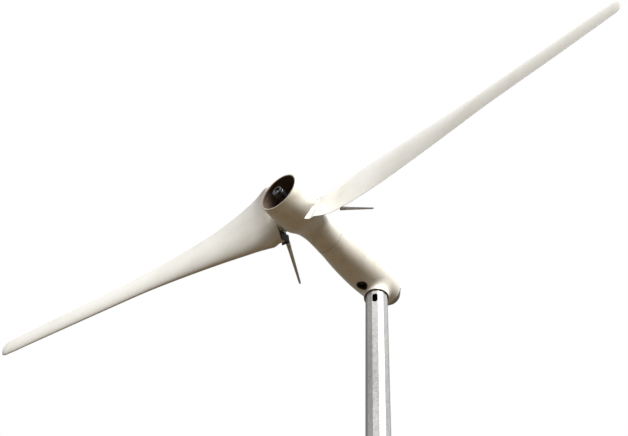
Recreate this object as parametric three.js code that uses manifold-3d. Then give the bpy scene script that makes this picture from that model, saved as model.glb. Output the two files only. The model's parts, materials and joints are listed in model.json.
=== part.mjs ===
// Small two-bladed downwind wind turbine on the head section of its polygonal mast.
// Millimetres, +Z up. The mast's axis is Z, and the origin is the centre of the base flange's underside.
// The rotor axis is parallel to Y: the hub's open mouth faces -Y and the nacelle's tail faces +Y.
import * as THREE from "three";
import { mergeVertices } from "three/addons/utils/BufferGeometryUtils.js";
import Module from "manifold-3d";

const wasm = await Module();
wasm.setup();

// ---- Driving dimensions ----------------------------------------------------------------------
const GAP = 0.3; // clearance between fixed pieces that touch
const RUNNING_GAP = 0.8; // clearance of round pieces that turn in each other: more than a flat side stands in
const CUT = 1; // how far a cutting tool passes the face that it cuts
const HUB_HEIGHT = 3000; // base plane to rotor axis
const AXIS_TO_MOUTH = 933; // mast axis to hub mouth, along the rotor axis
const ROUND = 30; // sides of the large round pieces
const SMALL_ROUND = 16; // sides of the small round pieces

const ROTOR = { radius: 2500, azimuth: -7.6, cone: 5.16, plane: 248 }; // degrees; plane is behind the mouth
const MAST = { sides: 12, baseRadius: 83, topRadius: 69, wall: 5, topDrop: 142 }; // radii to the corners
const FLANGE = { radius: 150, thick: 20, bore: 60, bolts: 8, boltCircle: 125, boltHole: 9 };
const GUSSET = { count: 4, thick: 8, height: 120, foot: 62 };
const HAND_HOLE = { width: 34, height: 76, drop: 220, facing: -60 }; // drop is below the rotor axis
const HUB = { wall: 6, lip: 10, lipRadius: 126, pitchHole: 47, bulkheadBore: 20 };
const NACELLE = { front: 480, wall: 5, capSeam: 1060, lidHeight: 52, lidFront: 520, lidRear: 1030 };
const SKIRT = { radius: 79, bore: 73.5, drop: 150, swell: 1, from: -40 };
const PORT = { radius: 31, behindMouth: 814, lean: -9, lip: 4 }; // lean from straight down, in degrees
const SHAFT = { radius: 25, flange: 55, front: 333.6, flangeThick: 18, end: 794 };
const GENERATOR = { clear: 1, wall: 6, front: 535.3, rear: 765, bell: 15, stackFront: 585, stackRear: 715 };
const AIR_GAP = 1;
const STACK = { bore: 62, windingBore: 66, windingInset: 4, windingLength: 20 };
const BALL_BEARING = { radius: 45, width: 18, boss: 12 };
const SEAL = { radius: 36, stand: 0.6, depth: 10 };
const SHAFT_NUT = { radius: 38, thick: 9 };
const YAW = { spindle: 30, bore: 18, tube: 54, bearing: 44, bearingWidth: 20, top: 62, low: 108 };
const TOP_PLATE = { thick: 12, radius: 64, bolts: 6, boltCircle: 47, boltHole: 4.5 };
const GLAND = { bore: 11, neck: 22, flange: 26, length: 24, flangeThick: 4 };
const SLIP_RING = { bore: 12, drum: 24, contact: 30, height: 8, pitch: 12, count: 3 };
const FRAME = { disc: 80, discFront: 800, discRear: 815, half: 40, plate: 12, under: 66, over: 60 };
const BRUSHES = { half: 18, reach: 70, clear: 4, height: 36 };
const JUNCTION_BOX = { half: 34, depth: 38, under: 40, over: 30 };
const YOKE = { radius: 67, crankRoom: 3.5, front: 185, back: 305, plate: 20, arm: 37, armEnd: 140,
  bearing: 28 };
const SPINDLE = { radius: 20, inner: 40.3, flange: 42, flangeThick: 10, face: 173.4 };
const CRANK = { throw: 24, pin: 5, thick: 9, pinTip: 8, play: 0.6, sidePlay: 3, half: 12, heel: 16, toe: 3 };
const CROSSHEAD = { halfWidth: 27, halfReach: 36, thick: 28, stem: 15, front: 96, cup: 29, cupDepth: 14 };
const GUIDE = { radius: 8, front: -8, clearance: 0.4 };
const SPRING = { radius: 20, wire: 3, turns: 5, steps: 10 };
const CAP = { front: -15, rear: 60, radius: 33, recess: 22, recessDepth: 12, collar: 38, seat: 10 };
const ROOT_PLATE = { thick: 8, lead: 86, trail: 118, half: 30, lug: 36, clear: 55, reach: 14 };
const ARM = { base: [58, 213, 80], tip: [280, 244.2, 244.4], wide: [30, 13], thick: [10, 6],
  roll: 45, pitch: 20.8 }; // pitch is of the frame that base and tip are in

// Outer shape of the hub shell and of the nacelle: [distance behind the mouth, radius].
const HUB_OUTLINE = [
  [0, 136], [12, 139], [55, 141.5], [120, 143.5], [185, 144], [212, 142], [238, 134],
  [264, 121], [290, 110], [320, 103], [352, 99], [390, 98], [435, 99.5], [477, 102],
];
const NACELLE_OUTLINE = [
  [480, 102.5], [527, 105], [577, 111], [640, 117.5], [700, 121.5], [760, 124], [820, 124.5],
  [880, 122.5], [930, 118.5], [980, 111], [1025, 100], [1060, 88],
];
const CAP_OUTLINE = [[1060, 88], [1081, 74], [1100, 56], [1115, 34], [1122, 0]];

// Blade stations: [radius, chord, leading edge ahead of the pitch axis, pitch in degrees, thickness / chord].
const BLADE_STATIONS = [
  [182, 395, 105, 31, 0.2], [215, 402, 107, 27.5, 0.2], [250, 408, 109, 25, 0.195],
  [300, 403, 106, 21, 0.19], [350, 388, 102, 17.3, 0.185],
  [450, 355, 96, 13.4, 0.175], [580, 316, 87, 9.6, 0.167], [700, 284, 79, 6.8, 0.16],
  [850, 249, 69, 4.7, 0.155], [1000, 219, 60, 3.1, 0.15], [1250, 178, 49, 1.6, 0.14],
  [1500, 152, 49, 1.2, 0.135], [1750, 142, 51, 1.1, 0.13], [2000, 135, 53, 1.2, 0.128],
  [2250, 124, 55, 1.6, 0.124], [2420, 115, 56, 2.2, 0.12], [2470, 104, 52, 2.4, 0.12],
  [2492, 74, 38, 2.4, 0.12], [2500, 36, 19, 2.4, 0.12],
];
const SECTION_STOPS = [0, 0.02, 0.07, 0.16, 0.3, 0.48, 0.68, 0.86, 1];
const EDGE_HALF = 1.2; // half the thickness of the trailing edge

// ---- Materials --------------------------------------------------------------------------------
const MATERIALS = {
  gelcoat: new THREE.MeshStandardMaterial({ color: 0xe9e5da, roughness: 0.35, metalness: 0 }),
  capGrey: new THREE.MeshStandardMaterial({ color: 0x8f8f88, roughness: 0.5, metalness: 0 }),
  galvanised: new THREE.MeshStandardMaterial({ color: 0xb9bab8, roughness: 0.45, metalness: 0.8 }),
  darkSteel: new THREE.MeshStandardMaterial({ color: 0x33343a, roughness: 0.5, metalness: 0.6 }),
  brightSteel: new THREE.MeshStandardMaterial({ color: 0xb4b6ba, roughness: 0.3, metalness: 0.9 }),
  castIron: new THREE.MeshStandardMaterial({ color: 0x55585a, roughness: 0.7, metalness: 0.5 }),
  aluminium: new THREE.MeshStandardMaterial({ color: 0xa9adb0, roughness: 0.4, metalness: 0.8 }),
  copper: new THREE.MeshStandardMaterial({ color: 0xb0683c, roughness: 0.4, metalness: 0.9 }),
  brass: new THREE.MeshStandardMaterial({ color: 0xc9a24f, roughness: 0.3, metalness: 0.9 }),
  rubber: new THREE.MeshStandardMaterial({ color: 0x1d1d1f, roughness: 0.8, metalness: 0 }),
  plastic: new THREE.MeshStandardMaterial({ color: 0x3c4046, roughness: 0.6, metalness: 0 }),
};

// ---- Geometry helpers -------------------------------------------------------------------------
const radians = THREE.MathUtils.degToRad;

/** A closed geometry as a manifold-3d solid. */
function solidOf(geometry) {
  const flat = geometry.index ? geometry.toNonIndexed() : geometry.clone();
  flat.deleteAttribute("normal");
  flat.deleteAttribute("uv");
  const merged = mergeVertices(flat, 1e-3);
  return new wasm.Manifold(
    new wasm.Mesh({
      numProp: 3,
      vertProperties: merged.attributes.position.array,
      triVerts: new Uint32Array(merged.index.array),
    }),
  );
}

/** A manifold-3d solid as a three.js geometry. */
function geometryOf(solid) {
  const mesh = solid.getMesh();
  const geometry = new THREE.BufferGeometry();
  geometry.setAttribute("position", new THREE.BufferAttribute(mesh.vertProperties, 3));
  geometry.setIndex(new THREE.BufferAttribute(mesh.triVerts, 1));
  return geometry;
}

/** Joins the first geometries and cuts the others from them. */
function carve(joined, cuts = []) {
  const whole = joined.map(solidOf).reduce((a, b) => a.add(b));
  return geometryOf(cuts.map(solidOf).reduce((a, b) => a.subtract(b), whole));
}

/** A solid of revolution about Y. The outline's points are [distance along Y, radius]. */
function turned(outline, sides = SMALL_ROUND) {
  const points = outline.map(([along, radius]) => new THREE.Vector2(radius, along));
  return new THREE.LatheGeometry(points, sides);
}

/** A plain disc or rod about Y. */
const rod = (radius, from, to, sides) =>
  turned([[from, 0], [from, radius], [to, radius], [to, 0]], sides);

/** A ring about Y. */
const ring = (inner, outer, from, to, sides) =>
  turned([[from, inner], [from, outer], [to, outer], [to, inner], [from, inner]], sides);

/** Turns a geometry made about Y so that it stands about Z. */
const upright = (geometry) => geometry.rotateX(Math.PI / 2);

/** A box from its lowest to its highest corner. */
function block([x0, y0, z0], [x1, y1, z1]) {
  const box = new THREE.BoxGeometry(x1 - x0, y1 - y0, z1 - z0);
  return box.translate((x0 + x1) / 2, (y0 + y1) / 2, (z0 + z1) / 2);
}

/** A rod along Z at a point of a circle about Z. */
function boltHole(radius, circle, angle, from, to) {
  const hole = upright(rod(radius, from, to, 8));
  return hole.translate(circle * Math.cos(angle), circle * Math.sin(angle), 0);
}

/** A closed skin over rings of points that all have the same count. */
function loft(rings) {
  const count = rings[0].length;
  const centre = (points) => {
    const sum = points.reduce((total, point) => total.add(point), new THREE.Vector3());
    return sum.divideScalar(count);
  };
  const vertices = [...rings.flat(), centre(rings[0]), centre(rings.at(-1))];
  const first = vertices.length - 2;
  const faces = [];
  for (let i = 0; i < count; i++) {
    const next = (i + 1) % count;
    for (let r = 0; r < rings.length - 1; r++) {
      const [a, b] = [r * count + i, r * count + next];
      const [c, d] = [a + count, b + count];
      faces.push(a, d, b, a, c, d);
    }
    const end = (rings.length - 1) * count;
    faces.push(first, i, next, first + 1, end + next, end + i);
  }
  const geometry = new THREE.BufferGeometry().setFromPoints(vertices);
  geometry.setIndex(faces);
  return geometry;
}

/** Value at x on straight lines between rows of [x, value]. */
function between(rows, x) {
  const i = Math.max(1, rows.findIndex((row) => row[0] >= x));
  const [[x0, y0], [x1, y1]] = [rows[i - 1], rows[i]];
  return y0 + ((y1 - y0) * (x - x0)) / (x1 - x0);
}

// ---- Frames -----------------------------------------------------------------------------------
// Pieces of the rotor and nacelle are made in the axial frame: its origin is the centre of the hub
// mouth, Y runs back along the rotor axis and Z is up. Blade pieces are made in the blade frame:
// X towards the leading edge, Y outwards along the pitch axis, Z back towards the nacelle.
const axial = new THREE.Group();
axial.position.set(0, -AXIS_TO_MOUTH, HUB_HEIGHT);

/** The blade frame of blade 1 or 2 inside the axial frame. */
function bladeFrame(number) {
  const azimuth = radians(ROTOR.azimuth + 180 * (number - 1));
  const cone = radians(ROTOR.cone);
  const inPlane = new THREE.Vector3(Math.cos(azimuth), 0, Math.sin(azimuth));
  const outwards = inPlane.clone().multiplyScalar(Math.cos(cone));
  outwards.y = -Math.sin(cone);
  const ahead = new THREE.Vector3(-Math.sin(azimuth), 0, Math.cos(azimuth));
  const back = new THREE.Vector3().crossVectors(ahead, outwards);
  return new THREE.Matrix4().makeBasis(ahead, outwards, back).setPosition(0, ROTOR.plane, 0);
}

/** Adds a named mesh to a group. */
function add(group, name, material, geometry) {
  const mesh = new THREE.Mesh(geometry, MATERIALS[material].clone());
  mesh.name = name;
  group.add(mesh);
}

// ---- Mast -------------------------------------------------------------------------------------
const mastTop = HUB_HEIGHT - MAST.topDrop;
const mastFoot = FLANGE.thick + GAP;
const flatShare = Math.cos(Math.PI / MAST.sides);

function makeBaseFlange() {
  const inner = MAST.baseRadius * flatShare + GAP;
  const sunk = FLANGE.thick - CUT;
  const outline = new THREE.Shape([
    new THREE.Vector2(inner, sunk),
    new THREE.Vector2(inner + GUSSET.foot, sunk),
    new THREE.Vector2(inner + GUSSET.foot, FLANGE.thick + GUSSET.thick),
    new THREE.Vector2(inner + GUSSET.thick, FLANGE.thick + GUSSET.height),
    new THREE.Vector2(inner, FLANGE.thick + GUSSET.height),
  ]);
  const joined = [upright(ring(FLANGE.bore, FLANGE.radius, 0, FLANGE.thick, ROUND))];
  for (let i = 0; i < GUSSET.count; i++) {
    const gusset = new THREE.ExtrudeGeometry(outline, { depth: GUSSET.thick, bevelEnabled: false });
    gusset.translate(0, 0, -GUSSET.thick / 2).rotateX(Math.PI / 2);
    joined.push(gusset.rotateZ((i * 2 * Math.PI) / GUSSET.count));
  }
  const cuts = [];
  for (let i = 0; i < FLANGE.bolts; i++) {
    const angle = ((i + 0.5) * 2 * Math.PI) / FLANGE.bolts;
    cuts.push(boltHole(FLANGE.boltHole, FLANGE.boltCircle, angle, -CUT, FLANGE.thick + CUT));
  }
  return carve(joined, cuts);
}

function makeMastTube() {
  const wall = MAST.wall / flatShare;
  const outline = [
    [mastFoot, MAST.baseRadius - wall], [mastFoot, MAST.baseRadius], [mastTop, MAST.topRadius],
    [mastTop, MAST.topRadius - wall], [mastFoot, MAST.baseRadius - wall],
  ].map(([z, radius]) => new THREE.Vector2(radius, z));
  const tube = upright(new THREE.LatheGeometry(outline, MAST.sides, Math.PI / MAST.sides));
  const slot = new THREE.Shape();
  const straight = (HAND_HOLE.height - HAND_HOLE.width) / 2;
  slot.absarc(0, straight, HAND_HOLE.width / 2, 0, Math.PI);
  slot.absarc(0, -straight, HAND_HOLE.width / 2, Math.PI, 2 * Math.PI);
  const shape = { depth: MAST.topRadius, bevelEnabled: false, curveSegments: 8 };
  const cut = new THREE.ExtrudeGeometry(slot, shape);
  cut.translate(0, 0, MAST.topRadius / 2).rotateX(Math.PI / 2);
  cut.rotateZ(radians(90 + HAND_HOLE.facing)).translate(0, 0, HUB_HEIGHT - HAND_HOLE.drop);
  return carve([tube], [cut]);
}

const spindleFoot = mastTop + GAP + TOP_PLATE.thick + GAP;
const spindleTop = HUB_HEIGHT + YAW.top;

function boltCuts(from, to) {
  const turn = (2 * Math.PI) / TOP_PLATE.bolts;
  return Array.from({ length: TOP_PLATE.bolts }, (_, i) =>
    boltHole(TOP_PLATE.boltHole, TOP_PLATE.boltCircle, i * turn, from, to));
}

function makeTopPlate() {
  const from = mastTop + GAP;
  const plate = upright(ring(YAW.bore, TOP_PLATE.radius, from, from + TOP_PLATE.thick));
  return carve([plate], boltCuts(from - CUT, from + TOP_PLATE.thick + CUT));
}

function makeYawSpindle() {
  const flangeTop = spindleFoot + TOP_PLATE.thick;
  const flange = TOP_PLATE.boltCircle + TOP_PLATE.boltHole * 2.4;
  const outline = [
    [spindleFoot, YAW.bore], [spindleFoot, flange], [flangeTop, flange],
    [flangeTop, YAW.spindle], [spindleTop, YAW.spindle], [spindleTop, YAW.bore], [spindleFoot, YAW.bore],
  ];
  return carve([upright(turned(outline))], boltCuts(spindleFoot - CUT, flangeTop + CUT));
}

function makeCableGland() {
  const { bore, neck, flange, length, flangeThick } = GLAND;
  const under = mastTop - GAP;
  const low = under - length;
  return upright(turned([
    [low, bore], [low, neck], [under - flangeThick, flange], [under, flange], [under, YAW.bore - GAP],
    [spindleFoot, YAW.bore - GAP], [spindleFoot, bore], [low, bore],
  ]));
}

const drumFoot = spindleTop + GAP;
const drumTop = drumFoot + SLIP_RING.pitch * SLIP_RING.count;

function makeSlipRing(index) {
  const from = drumFoot + (SLIP_RING.pitch - SLIP_RING.height) / 2 + index * SLIP_RING.pitch;
  return upright(ring(SLIP_RING.drum + GAP, SLIP_RING.contact, from, from + SLIP_RING.height));
}

function makeMast(group) {
  add(group, "base_flange", "galvanised", makeBaseFlange());
  add(group, "mast_tube", "galvanised", makeMastTube());
  add(group, "mast_top_plate", "galvanised", makeTopPlate());
  add(group, "yaw_spindle", "brightSteel", makeYawSpindle());
  add(group, "cable_gland", "rubber", makeCableGland());
  const drum = upright(ring(SLIP_RING.bore, SLIP_RING.drum, drumFoot, drumTop));
  add(group, "slip_ring_drum", "plastic", drum);
  for (let i = 0; i < SLIP_RING.count; i++) add(group, `slip_ring_${i + 1}`, "brass", makeSlipRing(i));
}

// ---- Nacelle ----------------------------------------------------------------------------------
const generatorRadius = between(NACELLE_OUTLINE, GENERATOR.front) - NACELLE.wall - GENERATOR.clear;
const everyOther = (outline) => outline.filter((_, i) => i % 2 === 1);
const inwards = (outline, wall) => outline.map(([along, radius]) => [along, radius - wall]);

/** A vertical piece about the mast's axis, in the axial frame; its outline is [height, radius]. */
const aboutMast = (outline, sides) => upright(turned(outline, sides)).translate(0, AXIS_TO_MOUTH, 0);

const portReach = [90, 140]; // from inside the shell to outside it, from the rotor axis

function portCut(radius, from, to) {
  const lean = radians(PORT.lean);
  const cut = upright(rod(radius, -to, -from)).rotateY(-lean);
  return cut.translate(0, PORT.behindMouth, 0);
}

/** The nacelle's shell before it is parted into body and lid. */
function makeShell() {
  const [front, rear] = [NACELLE_OUTLINE[0], NACELLE_OUTLINE.at(-1)];
  const inner = inwards([front, ...everyOther(NACELLE_OUTLINE)], NACELLE.wall);
  const outside = turned([[front[0], 0], ...NACELLE_OUTLINE, [rear[0], 0]], ROUND);
  const hollow = turned([
    [front[0] - CUT, 0], [front[0] - CUT, inner[0][1]], ...inner,
    [rear[0] + CUT, inner.at(-1)[1]], [rear[0] + CUT, 0],
  ], ROUND);
  const { radius, bore, drop, swell, from } = SKIRT;
  const skirt = aboutMast([
    [-drop, 0], [-drop, radius], [-drop * 0.7, radius + swell], [-drop / 2, radius + swell / 2],
    [-drop * 0.36, radius - 7], [from, bore - CUT], [from, 0],
  ], ROUND);
  const low = -drop - CUT;
  const skirtBore = aboutMast([[low, 0], [low, bore], [from + 2 * CUT, bore], [from + 2 * CUT, 0]], ROUND);
  return carve([outside, skirt], [hollow, skirtBore, portCut(PORT.radius, ...portReach)]);
}

function lidBox(margin) {
  const side = 200; // past the shell on each side and above
  return block(
    [-side, NACELLE.lidFront + margin, NACELLE.lidHeight + margin],
    [side, NACELLE.lidRear - margin, side],
  );
}

function makeFrame() {
  const { tube, bearing, low, top } = YAW;
  const { disc, discFront, discRear, half, plate, under, over } = FRAME;
  const front = discRear - 5 * CUT;
  const joined = [
    aboutMast([[-low, 0], [-low, tube], [top, tube], [top, 0]], ROUND),
    rod(disc, discFront, discRear, ROUND),
    block([-half, front, -under], [plate - half, AXIS_TO_MOUTH, over]),
    block([half - plate, front, -under], [half, AXIS_TO_MOUTH, over]),
    block([-half, front, -under], [half, AXIS_TO_MOUTH, plate - under]),
  ];
  const [from, to] = [-low - CUT, top + CUT];
  return carve(joined, [aboutMast([[from, 0], [from, bearing], [to, bearing], [to, 0]])]);
}

function makeYawRing(from) {
  const to = from + YAW.bearingWidth;
  const [inner, outer] = [YAW.spindle + RUNNING_GAP, YAW.bearing - GAP];
  return aboutMast([[from, inner], [from, outer], [to, outer], [to, inner], [from, inner]]);
}

function makeBell(from, plateTo, bossFrom, bossTo) {
  const seat = BALL_BEARING.radius + GAP;
  const boss = seat + BALL_BEARING.boss;
  return carve([
    ring(seat, generatorRadius, from, plateTo, ROUND),
    ring(seat, boss, bossFrom, bossTo, ROUND),
  ]);
}

function makeNacelle(group) {
  const g = GENERATOR;
  const shell = solidOf(makeShell());
  const bodyEnd = NACELLE.capSeam;
  const rimRadius = NACELLE_OUTLINE[0][1] - NACELLE.wall;
  add(group, "nacelle_body", "gelcoat", geometryOf(shell.subtract(solidOf(lidBox(0)))));
  add(group, "nacelle_lid", "gelcoat", geometryOf(shell.intersect(solidOf(lidBox(GAP)))));
  const capInner = inwards(CAP_OUTLINE.slice(0, -1), NACELLE.wall).reverse();
  const capOuter = CAP_OUTLINE.map(([along, radius]) => [along + GAP, radius]);
  add(group, "rear_cap", "capGrey", turned([
    ...capOuter, [CAP_OUTLINE.at(-1)[0] - NACELLE.wall, 0], ...capInner.slice(0, -1),
    [bodyEnd + GAP, capInner.at(-1)[1]], [bodyEnd + GAP, CAP_OUTLINE[0][1]],
  ], ROUND));
  const bushing = portCut(PORT.radius - GAP, 112, 127);
  add(group, "port_bushing", "rubber", carve([bushing], [portCut(PORT.radius - PORT.lip, ...portReach)]));
  const [sealFrom, sealTo] = [NACELLE.front + SEAL.stand, NACELLE.front + SEAL.depth];
  const shield = ring(SEAL.radius + GAP, rimRadius - GAP, sealFrom, sealTo, ROUND);
  add(group, "front_shield", "aluminium", shield);
  add(group, "shaft_seal", "rubber", ring(SHAFT.radius + RUNNING_GAP, SEAL.radius, sealFrom, sealTo));
  add(group, "nacelle_frame", "castIron", makeFrame());
  add(group, "yaw_bearing_lower", "brightSteel", makeYawRing(-YAW.low + 2));
  add(group, "yaw_bearing_upper", "brightSteel", makeYawRing(YAW.top - YAW.bearingWidth - 4));
  const frontBell = makeBell(g.front, g.front + g.bell, g.front - 30, g.front + CUT);
  add(group, "front_end_bell", "aluminium", frontBell);
  const rearBell = makeBell(g.rear - g.bell, g.rear, g.rear - CUT, FRAME.discFront - GAP);
  add(group, "rear_end_bell", "aluminium", rearBell);
  const bodyFrom = g.front + g.bell + GAP;
  const bodyTo = g.rear - g.bell - GAP;
  const housing = ring(generatorRadius - g.wall, generatorRadius, bodyFrom, bodyTo, ROUND);
  add(group, "generator_housing", "aluminium", housing);
  const coreOuter = generatorRadius - g.wall - GAP;
  add(group, "stator_core", "darkSteel", ring(STACK.bore, coreOuter, g.stackFront, g.stackRear, ROUND));
  const winding = (from) =>
    ring(STACK.windingBore, coreOuter - STACK.windingInset, from, from + STACK.windingLength);
  add(group, "winding_front", "copper", winding(g.stackFront - GAP - STACK.windingLength));
  add(group, "winding_rear", "copper", winding(g.stackRear + GAP));
  const bearing = (from) =>
    ring(SHAFT.radius + RUNNING_GAP, BALL_BEARING.radius, from, from + BALL_BEARING.width);
  add(group, "front_bearing", "brightSteel", bearing(g.front - 24));
  add(group, "rear_bearing", "brightSteel", bearing(g.rear + CUT));
  const brushTo = AXIS_TO_MOUTH - SLIP_RING.contact - BRUSHES.clear;
  add(group, "brush_holder", "plastic", block(
    [-BRUSHES.half, AXIS_TO_MOUTH - BRUSHES.reach, YAW.top + GAP],
    [BRUSHES.half, brushTo, YAW.top + BRUSHES.height],
  ));
  const box = JUNCTION_BOX;
  const boxFront = AXIS_TO_MOUTH + YAW.tube + GAP;
  add(group, "junction_box", "plastic",
    block([-box.half, boxFront, -box.under], [box.half, boxFront + box.depth, box.over]));
}

// ---- Rotor ------------------------------------------------------------------------------------
function makeHubShell() {
  const inner = inwards(everyOther(HUB_OUTLINE), HUB.wall).reverse();
  const body = turned([
    ...HUB_OUTLINE, ...inner, [HUB.lip, HUB.lipRadius], [0, HUB.lipRadius], HUB_OUTLINE[0],
  ], ROUND);
  const past = HUB_OUTLINE[0][1] / 2; // well inside the shell's wall
  const holes = [1, 2].map((n) => rod(HUB.pitchHole, past, SPINDLE.face).applyMatrix4(bladeFrame(n)));
  return carve([body], holes);
}

function makeYoke() {
  const cavity = Math.hypot(SPINDLE.inner, CRANK.throw + CRANK.pin + CRANK.toe) + YOKE.crankRoom;
  const joined = [rod(YOKE.radius, YOKE.front, YOKE.back + YOKE.plate, ROUND)];
  const cuts = [rod(cavity, YOKE.front - CUT, YOKE.back, ROUND)];
  cuts.push(rod(GUIDE.radius + GAP, YOKE.back - CUT, YOKE.back + YOKE.plate + CUT));
  for (const n of [1, 2]) {
    joined.push(rod(YOKE.arm, 20, YOKE.armEnd).applyMatrix4(bladeFrame(n)));
    cuts.push(rod(YOKE.bearing + GAP, 10, YOKE.armEnd + CUT).applyMatrix4(bladeFrame(n)));
  }
  return carve(joined, cuts);
}

function makeMainShaft() {
  const flangeRear = SHAFT.front + SHAFT.flangeThick;
  return turned([
    [SHAFT.front, 0], [SHAFT.front, SHAFT.flange], [flangeRear, SHAFT.flange], [flangeRear, SHAFT.radius],
    [SHAFT.end, SHAFT.radius], [SHAFT.end, 0],
  ]);
}

function makeSpring() {
  const from = CAP.rear - 6;
  const to = CROSSHEAD.front + 2;
  const steps = SPRING.turns * SPRING.steps;
  const points = Array.from({ length: steps + 1 }, (_, i) => {
    const angle = (i * 2 * Math.PI) / SPRING.steps;
    return new THREE.Vector3(
      SPRING.radius * Math.cos(angle), from + ((to - from) * i) / steps, SPRING.radius * Math.sin(angle));
  });
  const corner = (i) => {
    const angle = (i * Math.PI) / 3;
    return new THREE.Vector2(SPRING.wire * Math.cos(angle), SPRING.wire * Math.sin(angle));
  };
  const wire = new THREE.Shape([0, 1, 2, 3, 4, 5].map(corner));
  const path = new THREE.CatmullRomCurve3(points);
  return new THREE.ExtrudeGeometry(wire, { extrudePath: path, steps, bevelEnabled: false });
}

const springPocket = SPRING.radius + SPRING.wire + 2; // radius of the room round the spring

function makeSpringCap() {
  const { front, rear, radius, recess, recessDepth, collar, seat } = CAP;
  const bore = GUIDE.radius + GAP;
  const [bottom, step, waist] = [front + recessDepth, front + collar, springPocket + 4];
  return turned([
    [bottom, bore], [bottom, recess], [front, recess], [front, radius], [step, radius],
    [step + 6, waist], [rear, waist], [rear, springPocket], [rear - seat, springPocket], [rear - seat, bore],
    [bottom, bore],
  ]);
}

function makeCrosshead() {
  const { halfWidth, halfReach, thick, stem, front, cup, cupDepth } = CROSSHEAD;
  const plate = block([-halfWidth, -thick / 2, -halfReach], [halfWidth, thick / 2, halfReach]);
  plate.rotateY(-radians(ROTOR.azimuth)).translate(0, ROTOR.plane, 0);
  const cupRear = front + cupDepth + 8;
  const joined = [plate, rod(cup, front, cupRear), rod(stem, cupRear - CUT, ROTOR.plane)];
  const cuts = [
    rod(GUIDE.radius + GUIDE.clearance, front - CUT, ROTOR.plane + thick),
    rod(springPocket, front - CUT, front + cupDepth),
  ];
  const side = CRANK.pin + CRANK.sidePlay;
  const slot = CRANK.pin + CRANK.play;
  for (const n of [1, 2]) {
    const opening = block([CRANK.throw - side, 5, -slot], [CRANK.throw + side, 60, slot]);
    cuts.push(opening.applyMatrix4(bladeFrame(n)));
  }
  return carve(joined, cuts);
}

function makeRotor(group) {
  add(group, "hub_shell", "gelcoat", makeHubShell());
  add(group, "hub_yoke", "castIron", makeYoke());
  const bulkheadFrom = YOKE.back + YOKE.plate + GAP;
  const bulkheadRadius = between(HUB_OUTLINE, SHAFT.front) - HUB.wall - CUT;
  const bulkhead = ring(HUB.bulkheadBore, bulkheadRadius, bulkheadFrom, SHAFT.front - GAP, ROUND);
  add(group, "hub_bulkhead", "aluminium", bulkhead);
  add(group, "main_shaft", "brightSteel", makeMainShaft());
  const drum = { inner: SHAFT.radius + GAP, outer: STACK.bore - AIR_GAP };
  const drumRing = ring(drum.inner, drum.outer, GENERATOR.stackFront, GENERATOR.stackRear);
  add(group, "generator_rotor", "darkSteel", drumRing);
  const nutFrom = GENERATOR.rear + CUT + BALL_BEARING.width + GAP;
  const nutTo = nutFrom + SHAFT_NUT.thick;
  const nutBore = rod(SHAFT.radius + GAP, nutFrom - CUT, nutTo + CUT);
  add(group, "shaft_nut", "brightSteel", carve([rod(SHAFT_NUT.radius, nutFrom, nutTo, 6)], [nutBore]));
  add(group, "guide_rod", "brightSteel", rod(GUIDE.radius, GUIDE.front, YOKE.back + YOKE.plate - 2));
  add(group, "pitch_spring", "brightSteel", makeSpring());
  add(group, "spring_cap", "brightSteel", makeSpringCap());
  for (const n of [1, 2]) {
    for (const [place, from] of [["inner", 60], ["outer", YOKE.armEnd - 22]]) {
      const bush = ring(SPINDLE.radius + RUNNING_GAP, YOKE.bearing, from, from + BALL_BEARING.width);
      add(group, `pitch_bearing_${n}_${place}`, "brass", bush.applyMatrix4(bladeFrame(n)));
    }
  }
}

// ---- Blades -----------------------------------------------------------------------------------
/** Half thickness of a symmetric four-digit section, as a share of its full thickness. */
function halfThickness(x) {
  const tail = -0.126 * x - 0.3516 * x ** 2 + 0.2843 * x ** 3 - 0.1015 * x ** 4;
  return 5 * (0.2969 * Math.sqrt(x) + tail);
}

/** The ring of points of one blade section, in the blade frame. */
function bladeSection([radius, chord, lead, pitch, share]) {
  const [cos, sin] = [Math.cos(radians(pitch)), Math.sin(radians(pitch))];
  const at = (x, side) => {
    const along = lead - chord * x;
    const off = side * Math.max(EDGE_HALF * x, halfThickness(x) * share * chord);
    return new THREE.Vector3(along * cos - off * sin, radius, along * sin + off * cos);
  };
  const upper = SECTION_STOPS.map((x) => at(x, 1));
  const lower = SECTION_STOPS.slice(1).reverse().map((x) => at(x, -1));
  return [...upper, ...lower];
}

/** The stations run to 2.5 m; another rotor radius stretches the blade between its root and its tip. */
function makeBladeSkin() {
  const [root, tip] = [BLADE_STATIONS[0][0], BLADE_STATIONS.at(-1)[0]];
  const stretch = (ROTOR.radius - root) / (tip - root);
  return loft(BLADE_STATIONS.map(([radius, ...rest]) =>
    bladeSection([root + (radius - root) * stretch, ...rest])));
}

/** Turns a piece made along a chord (X along the chord, Z off it) to a pitch in degrees. */
const atPitch = (geometry, pitch) => geometry.rotateY(-radians(pitch));

function makeRootPlate() {
  const { thick, lead, trail, half, lug, clear, reach } = ROOT_PLATE;
  const from = SPINDLE.face + GAP;
  const to = from + thick;
  const armSeat = ARM.base[2] - (ARM.wide[0] / 2) * Math.sin(radians(ARM.roll)) - ARM.thick[0] / 2;
  return carve([
    atPitch(block([-trail, from, -half], [lead, to, half]), BLADE_STATIONS[0][3]),
    atPitch(block([lug, from, 0], [lead, to, armSeat]), ARM.pitch),
    atPitch(block([lug, from, clear], [lead, ARM.base[1] + reach, armSeat]), ARM.pitch),
  ]);
}

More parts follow.
